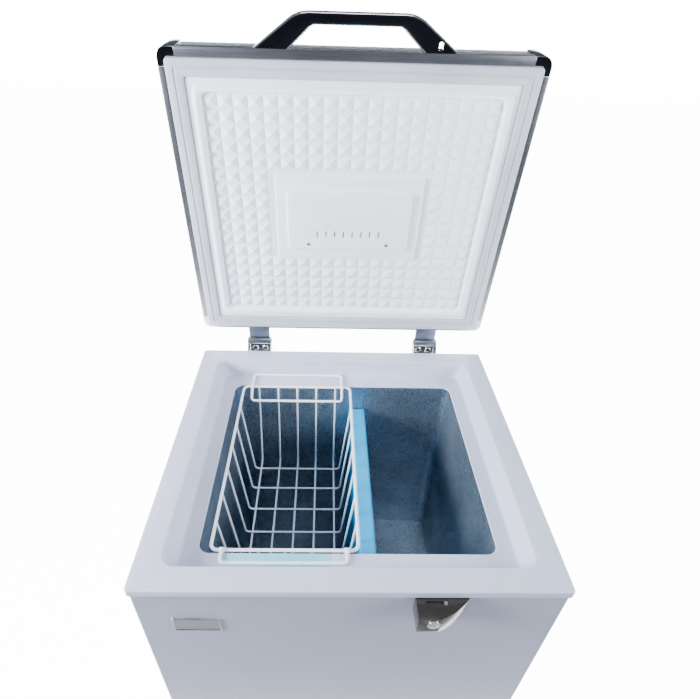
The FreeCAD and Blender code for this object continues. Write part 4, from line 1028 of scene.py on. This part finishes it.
    def pyramids(self) -> bpy.types.Object:
        """The embossed field of pyramids round the lamp panel."""
        s, f, r = (g + 0.6 + self.bead_inset + self.bead_width + 1.4 for g in self.gasket_inner)
        wide, deep = 2 * (self.half - s), (self.rear - r) - (self.front + f)
        middle = ((self.rear - r) + (self.front + f)) / 2
        base = link("pyramid_base", bpy.data.meshes.new("pyramid_base"))
        values = {"Columns": self.columns, "Rows": self.rows, "Pitch X": wide / self.columns,
                  "Pitch Y": deep / self.rows, "Height": 5.0, "Apex": 0.03,
                  "Panel X": self.panel[0] / 2 + 4, "Panel Y": self.panel[1] / 2 - 4,
                  "Panel Middle": self.panel_middle - middle, "Finish": self.shop.material(WHITE)}
        piece = Patterns.run(self.patterns.pyramids, base, "lid_pyramids", values, 5.0)
        lower = Matrix.Translation((0.0, middle, self.under + self.recess + 0.05))
        piece.data.transform(self.place.lid() @ lower)
        return piece

    def lamp_panel(self) -> bpy.types.Object:
        """The raised plain panel that carries the lamp cover."""
        hx, hy = self.panel[0] / 2, self.panel[1] / 2
        low, foot = self.under - 1.0, self.under + self.recess + 0.4
        at = lambda inset, radius, z: [p + Vector((0, self.panel_middle, 0)) for p in
                                       outline(hx - inset, inset - hy, hy - inset, radius, z)]
        rings = [at(0.0, 5.0, foot), at(0.0, 5.0, foot - 0.8)]
        rings += round_over(at(0.6, 4.4, low + 2.0), at(2.4, 3.0, low), Turn.UPRIGHT, 4)
        return lofted("lid_lamp_panel", rings, self.place.lid())

    def gasket(self) -> bpy.types.Object:
        """The soft seal with its rounded lips and the groove between them."""
        s, f, r = self.gasket_inner
        at = lambda inset, z: self.ring(s - inset, f - inset, r - inset, 3.0 + inset / 8, z)
        band, low, high = self.gasket_band, self.gasket_low, self.under
        rings = [at(band, high), at(band, low + 2.2)]
        rings += [at(band - 0.7, low + 0.7), at(band - 2.4, low), at(band * 0.58, low + 0.1),
                  at(band * 0.53, low + 1.3), at(band * 0.47, low + 1.3), at(band * 0.42, low + 0.1),
                  at(2.4, low), at(0.7, low + 0.7), at(0.0, low + 2.2), at(0.0, high)]
        return lofted("lid_seal", rings, self.place.lid(), loop=True)

    def handle(self) -> bpy.types.Object:
        """The plated loop: a rounded band bent round two corners, with the latch slot and its twin."""
        tip, bar = self.front - self.handle_reach, self.front - self.handle_reach + self.handle_bar
        outer = self._bent(self.handle_outer, self.front, tip, 50.0)
        inner = self._bent(self.handle_inner, self.front, bar, 8.0)
        rings = [self._section(a, b) for a, b in zip(outer, inner)]
        piece = lofted("lid_pull", rings, self.place.lid())
        for x, high in ((self.latch_x, 830.0), (-self.latch_x, self.under + 6)):
            shape = [[p + Vector((x, 0, 0)) for p in outline(3.0, self.front - 14, self.front - 3, 2.6, z)]
                     for z in (self.under - 3, high)]
            piece = carve(piece, lofted("slot_tool", shape, self.place.lid()))
        return piece

    def _bent(self, halves: tuple[float, float], base: float, tip: float, radius: float) -> list[Vector]:
        """Points along one edge of the handle, rounded at its two corners."""
        corners = [Vector((-halves[0], base, 0)), Vector((-halves[1], tip, 0)), Vector((halves[1], tip, 0)),
                   Vector((halves[0], base, 0))]
        points = [corners[0]]
        for before, here, after in zip(corners, corners[1:], corners[2:]):
            a, b = (before - here).normalized(), (after - here).normalized()
            back = radius / math.tan(a.angle(b) / 2)
            start, end = here + a * back, here + b * back
            for step in range(9):
                t = step / 8
                points.append(start.lerp(here, t).lerp(here.lerp(end, t), t))
        return points + [corners[3]]

    def _section(self, outer: Vector, inner: Vector) -> Ring:
        """The handle's rounded cross-section between its outer and inner edges."""
        across = inner - outer
        along, wide = across.normalized(), across.length
        flat = outline(wide / 2, 0.0, self.handle_thick, 3.2, 0.0, 4)
        middle = outer + across / 2
        return [middle + along * p.x + Vector((0, 0, self.under + p.y)) for p in flat]


@dataclass
class Hinges(Assembly):
    """The two counterbalance hinges."""

    x: float = 172.0
    lid_pitch: float = 12.0
    lid_rows: tuple[float, float] = (826.1, 838.1)
    cabinet_pitch: float = 14.5
    cabinet_rows: tuple[float, float] = (729.0, 770.5)

    web_half: float = 21.2
    web_y: tuple[float, float] = (283.0, 285.5)
    web_z: tuple[float, float] = (776.0, 797.0)
    eye: tuple[float, float, float] = (10.5, 787.0, 6.5)

    def build(self) -> None:
        """Make the leaves and what lies between their cheeks, and set their screws."""
        # The webs take black enamel as painted shade: they are zinc, dark where they lie under the barrel.
        self.fit(self.webs(), "cabinet", BLACK_ENAMEL, "galvanised")
        self.fit(self.spring_eyes(), "cabinet", BRIGHT_STEEL, "galvanised")
        self.soften("hinge_leaves_cabinet", "cabinet", ZINC, "galvanised", 0.5)
        self.soften("hinge_leaves_lid", "lid", ZINC, "galvanised", 0.5)
        for name, body, pitch, y, rows, node in (
                ("hinge_lid_heads", "lid", self.lid_pitch, 249.6, self.lid_rows, "hinge_screws_lid"),
                ("hinge_cabinet_heads", "cabinet", self.cabinet_pitch, 252.3, self.cabinet_rows,
                 "hinge_screws_cabinet")):
            where = self.place.lid() if body == "lid" else self.place.cabinet()
            seats = [Vector((side * self.x + dx, y, z)) for side in (-1, 1) for dx in (-pitch, pitch)
                     for z in rows]
            heads = self.screws(name, seats, 3.8, Facing.BACK, where)
            self.fit(heads, body, BRIGHT_STEEL, "bolt_steel", node)


    def webs(self) -> bpy.types.Object:
        """The zinc plate that closes each hinge between its cheeks, finished black as painted shade under the
        barrel.
        """
        (y0, y1), half = self.web_y, self.web_half
        plates = []
        for side in (-1, 1):
            rings = [[p + Vector((side * self.x, 0, 0)) for p in outline(half, y0, y1, 0.6, z)]
                     for z in self.web_z]
            plates.append(lofted("hinge_webs", rings, self.place.cabinet()))
        return joined(plates)

    def spring_eyes(self) -> bpy.types.Object:
        """The two bright coil ends that lie side by side on each plate."""
        dx, z, size = self.eye
        face = self.web_y[0]
        coils = []
        for side in (-1, 1):
            for across in (-dx, dx):
                middle = Vector((side * self.x + across, face, z))
                rings = []
                inner = size - 2.2
                section = ((0.0, size), (-1.2, size), (-2.0, size - 0.8), (-1.2, inner), (0.0, inner))
                for back, radius in section:
                    rings.append([middle + Vector((radius * math.cos(a), back, radius * math.sin(a)))
                                  for a in (2 * math.pi * k / 24 for k in range(24))])
                coils.append(lofted("hinge_spring_eyes", rings, self.place.cabinet(), loop=True))
        return joined(coils)


@dataclass
class Basket(Assembly):
    """The welded wire basket and its two swinging grips."""

    x: float = -90.0
    y: float = 2.5
    half: tuple[float, float] = (104.0, 177.3)
    rail: float = 2.5
    rail_z: float = 765.0
    wire_radius: float = 1.75
    floor_z: float = 592.0
    floor_half: tuple[float, float] = (86.5, 147.5)
    cross: tuple[int, float, float] = (6, 50.0, -3.0)
    along: tuple[int, float] = (5, 37.6)
    grip_half: float = 87.5
    grip_length: float = 63.0
    grip_drop: float = 11.0

    def build(self) -> None:
        """Make the rail, the wires and the grips."""
        hx, hy = self.half
        corners = [Vector((self.x + sx * hx, self.y + sy * hy, self.rail_z)) for sx, sy in
                   ((-1, 1), (-1, -1), (1, -1), (1, 1))]
        self._fit(self.wire("basket_top_rail", [corners], self.rail, 10.0, True), "basket", "basket_rail")
        end = self.rail_z - self.rail + 1
        fx, fy = self.floor_half
        count, pitch, middle = self.cross
        paths = []
        for i in range(count):
            y = middle + (i - (count - 1) / 2) * pitch
            paths.append([Vector((self.x + dx, y, z)) for dx, z in
                          ((-hx, end), (-fx, self.floor_z), (fx, self.floor_z), (hx, end))])
        self._fit(self.wire("basket_hoops", paths, self.wire_radius, 8.0, False), "basket",
                  "basket_cross_wires")
        under = self.floor_z - 2 * self.wire_radius - 0.05
        count, pitch = self.along
        paths = []
        for i in range(count):
            x = self.x + (i - (count - 1) / 2) * pitch
            paths.append([Vector((x, self.y + dy, z)) for dy, z in
                          ((hy, end), (fy, under), (-fy, under), (-hy, end))])
        self._fit(self.wire("basket_runners", paths, self.wire_radius, 8.0, False), "basket",
                  "basket_long_wires")
        self._fit(self.grip("basket_rear_pull", 1, 34.0), "grip_rear", "basket_grip_rear")
        self._fit(self.grip("basket_front_pull", -1, 21.0), "grip_front", "basket_grip_front")

    def _fit(self, piece: bpy.types.Object, body: str, node: str) -> None:
        """Finish one of the basket's wire pieces."""
        self.fit(piece, body, COATED_WIRE, "white_coating", node)

    def grip(self, name: str, side: int, reach: float) -> bpy.types.Object:
        """One wire grip with the two sleeves that turn on the rail.

        Args:
            name: name of the piece.
            side: 1 at the rear, -1 at the front.
            reach: rail to the outer bar, in millimetres.

        Returns:
            The grip.
        """
        rail_y = self.y + side * self.half[1]
        over = self.rail_z + 2 * self.rail + 0.1
        outer_z, inner_z = self.rail_z + self.rail + 0.3, self.rail_z - self.grip_drop
        outer_y = rail_y + side * reach
        inner_y, knee = outer_y - side * self.grip_length, rail_y + side * 8
        x0, x1 = self.x - self.grip_half, self.x + self.grip_half
        right = [(x1, outer_y, outer_z), (x1, knee, outer_z), (x1, rail_y, over)]
        left = [(x0, y, z) for _, y, z in reversed(right)]
        across = [(x1, inner_y, inner_z), (x0, inner_y, inner_z)]
        if side > 0:
            wire = self.wire(name, [[Vector(p) for p in right + across + left]], self.rail, 6.0, True)
        else:
            wire = self.wire(name, [[Vector(p) for p in left + right]], self.rail, 6.0, False)
        sleeves = [self._sleeve(x, rail_y) for x in (x0, x1)]
        work = bmesh.new()
        for mesh in [wire.data] + sleeves:
            work.from_mesh(mesh)
        work.to_mesh(wire.data)
        work.free()
        return wire

    def _sleeve(self, x: float, y: float) -> bpy.types.Mesh:
        """A short tube round the rail."""
        rings = []
        for dx, radius in ((-4, 2.6), (-4, 3.5), (-3.7, 3.8), (3.7, 3.8), (4, 3.5), (4, 2.6)):
            rings.append([Vector((x + dx, y + radius * math.cos(a), self.rail_z + radius * math.sin(a)))
                          for a in (2 * math.pi * k / 20 for k in range(20))])
        piece = lofted("sleeve", rings, self.place.cabinet(), loop=True)
        mesh = piece.data
        bpy.data.objects.remove(piece)
        return mesh


# ------------------------------------------------------------------ studio
@dataclass(frozen=True)
class Studio:
    """Floor, light and camera."""

    eye: Vector = Vector((-40.702, -580.38, 1404.39))
    pitch: float = -0.62331
    yaw: float = -0.02769
    roll: float = -0.03099
    focal: float = 500.6
    width: float = 700.0
    aim_x: float = 334.1
    aim_y: float = 349.49
    sky: float = 0.28
    sky_tint: Colour = (0.78, 0.88, 1.0)
    lamp_tint: Colour = (0.93, 0.96, 1.0)
    sweep: tuple[float, float] = (0.03, 14.0)

    def build(self, place: Place) -> None:
        """Set up the floor, the lights and the camera."""
        self._floor()
        self._lights()
        self._camera(place)

    def _floor(self) -> None:
        """A plain pale floor that runs out to a low wall far behind."""
        mesh = bpy.data.meshes.new("studio_floor")
        far, low, behind, high = 60.0, -0.0005, 12.0, 2.6
        mesh.from_pydata([(-far, -far, low), (far, -far, low), (far, behind, low), (-far, behind, low),
                          (far, behind, high), (-far, behind, high)], [], [(0, 1, 2, 3), (3, 2, 4, 5)])
        floor = link("studio_floor", mesh)
        material = bpy.data.materials.new("pale_floor")
        material.use_nodes = True
        shader = material.node_tree.nodes["Principled BSDF"]
        shader.inputs["Base Color"].default_value = (0.35, 0.35, 0.35, 1.0)
        shader.inputs["Roughness"].default_value = 0.9
        shader.inputs["Emission Color"].default_value = (1.0, 1.0, 1.0, 1.0)
        graph = Graph(material.node_tree)
        spot = graph.add("ShaderNodeSeparateXYZ", {0: graph.add("ShaderNodeTexCoord").outputs["Object"]})
        lit = graph.spread(spot.outputs[1], -0.45, -0.1)
        lit.node.inputs["To Min"].default_value = self.sweep[0]
        lit.node.inputs["To Max"].default_value = self.sweep[1]
        material.node_tree.links.new(lit, shader.inputs["Emission Strength"])
        mesh.materials.append(material)

    def _lights(self) -> None:
        """Even white surroundings and three large soft lamps."""
        world = bpy.data.worlds.new("studio_air")
        bpy.context.scene.world = world
        world.use_nodes = True
        world.node_tree.nodes["Background"].inputs["Color"].default_value = (*self.sky_tint, 1.0)
        world.node_tree.nodes["Background"].inputs["Strength"].default_value = self.sky
        for name, spot, size, power in (("key", (-1.40, -0.50, 1.36), 0.6, 100.0),
                                        ("fill", (1.50, -0.60, 1.40), 0.8, 54.0),
                                        ("top", (0.00, -0.45, 2.60), 0.9, 12.0)):
            lamp = bpy.data.lights.new(name, "AREA")
            lamp.size, lamp.energy, lamp.color = size, power, self.lamp_tint
            holder = bpy.data.objects.new(name, lamp)
            holder.location = spot
            holder.rotation_euler = (Vector((0, 0, 0.85)) - Vector(spot)).to_track_quat("-Z", "Y").to_euler()
            bpy.context.scene.collection.objects.link(holder)

    def _camera(self, place: Place) -> None:
        """The camera, in front of the lid and above the rim."""
        data = bpy.data.cameras.new("view")
        data.sensor_width = 36.0
        data.lens = self.focal / self.width * 36.0
        data.shift_x = (self.width / 2 - self.aim_x) / self.width
        data.shift_y = (self.aim_y - self.width / 2 + 0.5) / self.width
        data.clip_end = 200.0
        camera = bpy.data.objects.new("view", data)
        axes = (Matrix.Rotation(self.yaw, 3, "Z") @ Matrix.Rotation(self.pitch, 3, "X")
                @ Matrix.Rotation(self.roll, 3, "Y"))
        basis = Matrix((axes.col[0], axes.col[2], -axes.col[1])).transposed()
        camera.matrix_world = Matrix.Translation(place.cabinet() @ self.eye) @ basis.to_4x4()
        bpy.context.scene.collection.objects.link(camera)
        bpy.context.scene.camera = camera


def dress_frame(shop: Paintshop) -> None:
    """Give every frame node that still shows its finish."""
    for node, finish in NODE_FINISH.items():
        piece = frame["nodes"][node]
        material = shop.material(finish)
        for slot in piece.material_slots:
            slot.material = material
        LOG.info("%s is finished in %s", node, finish.name)


def main() -> None:
    """Build the freezer's looks in order."""
    logging.basicConfig(level=logging.INFO, format="%(name)s: %(message)s")
    place, shop, patterns = Place.from_frame(), Paintshop(), Patterns()
    Studio().build(place)
    dress_frame(shop)
    for kind in (Cabinet, Lock, Lid, Hinges, Basket):
        kind(place, shop, patterns).build()


if __name__ == "__main__":
    main()
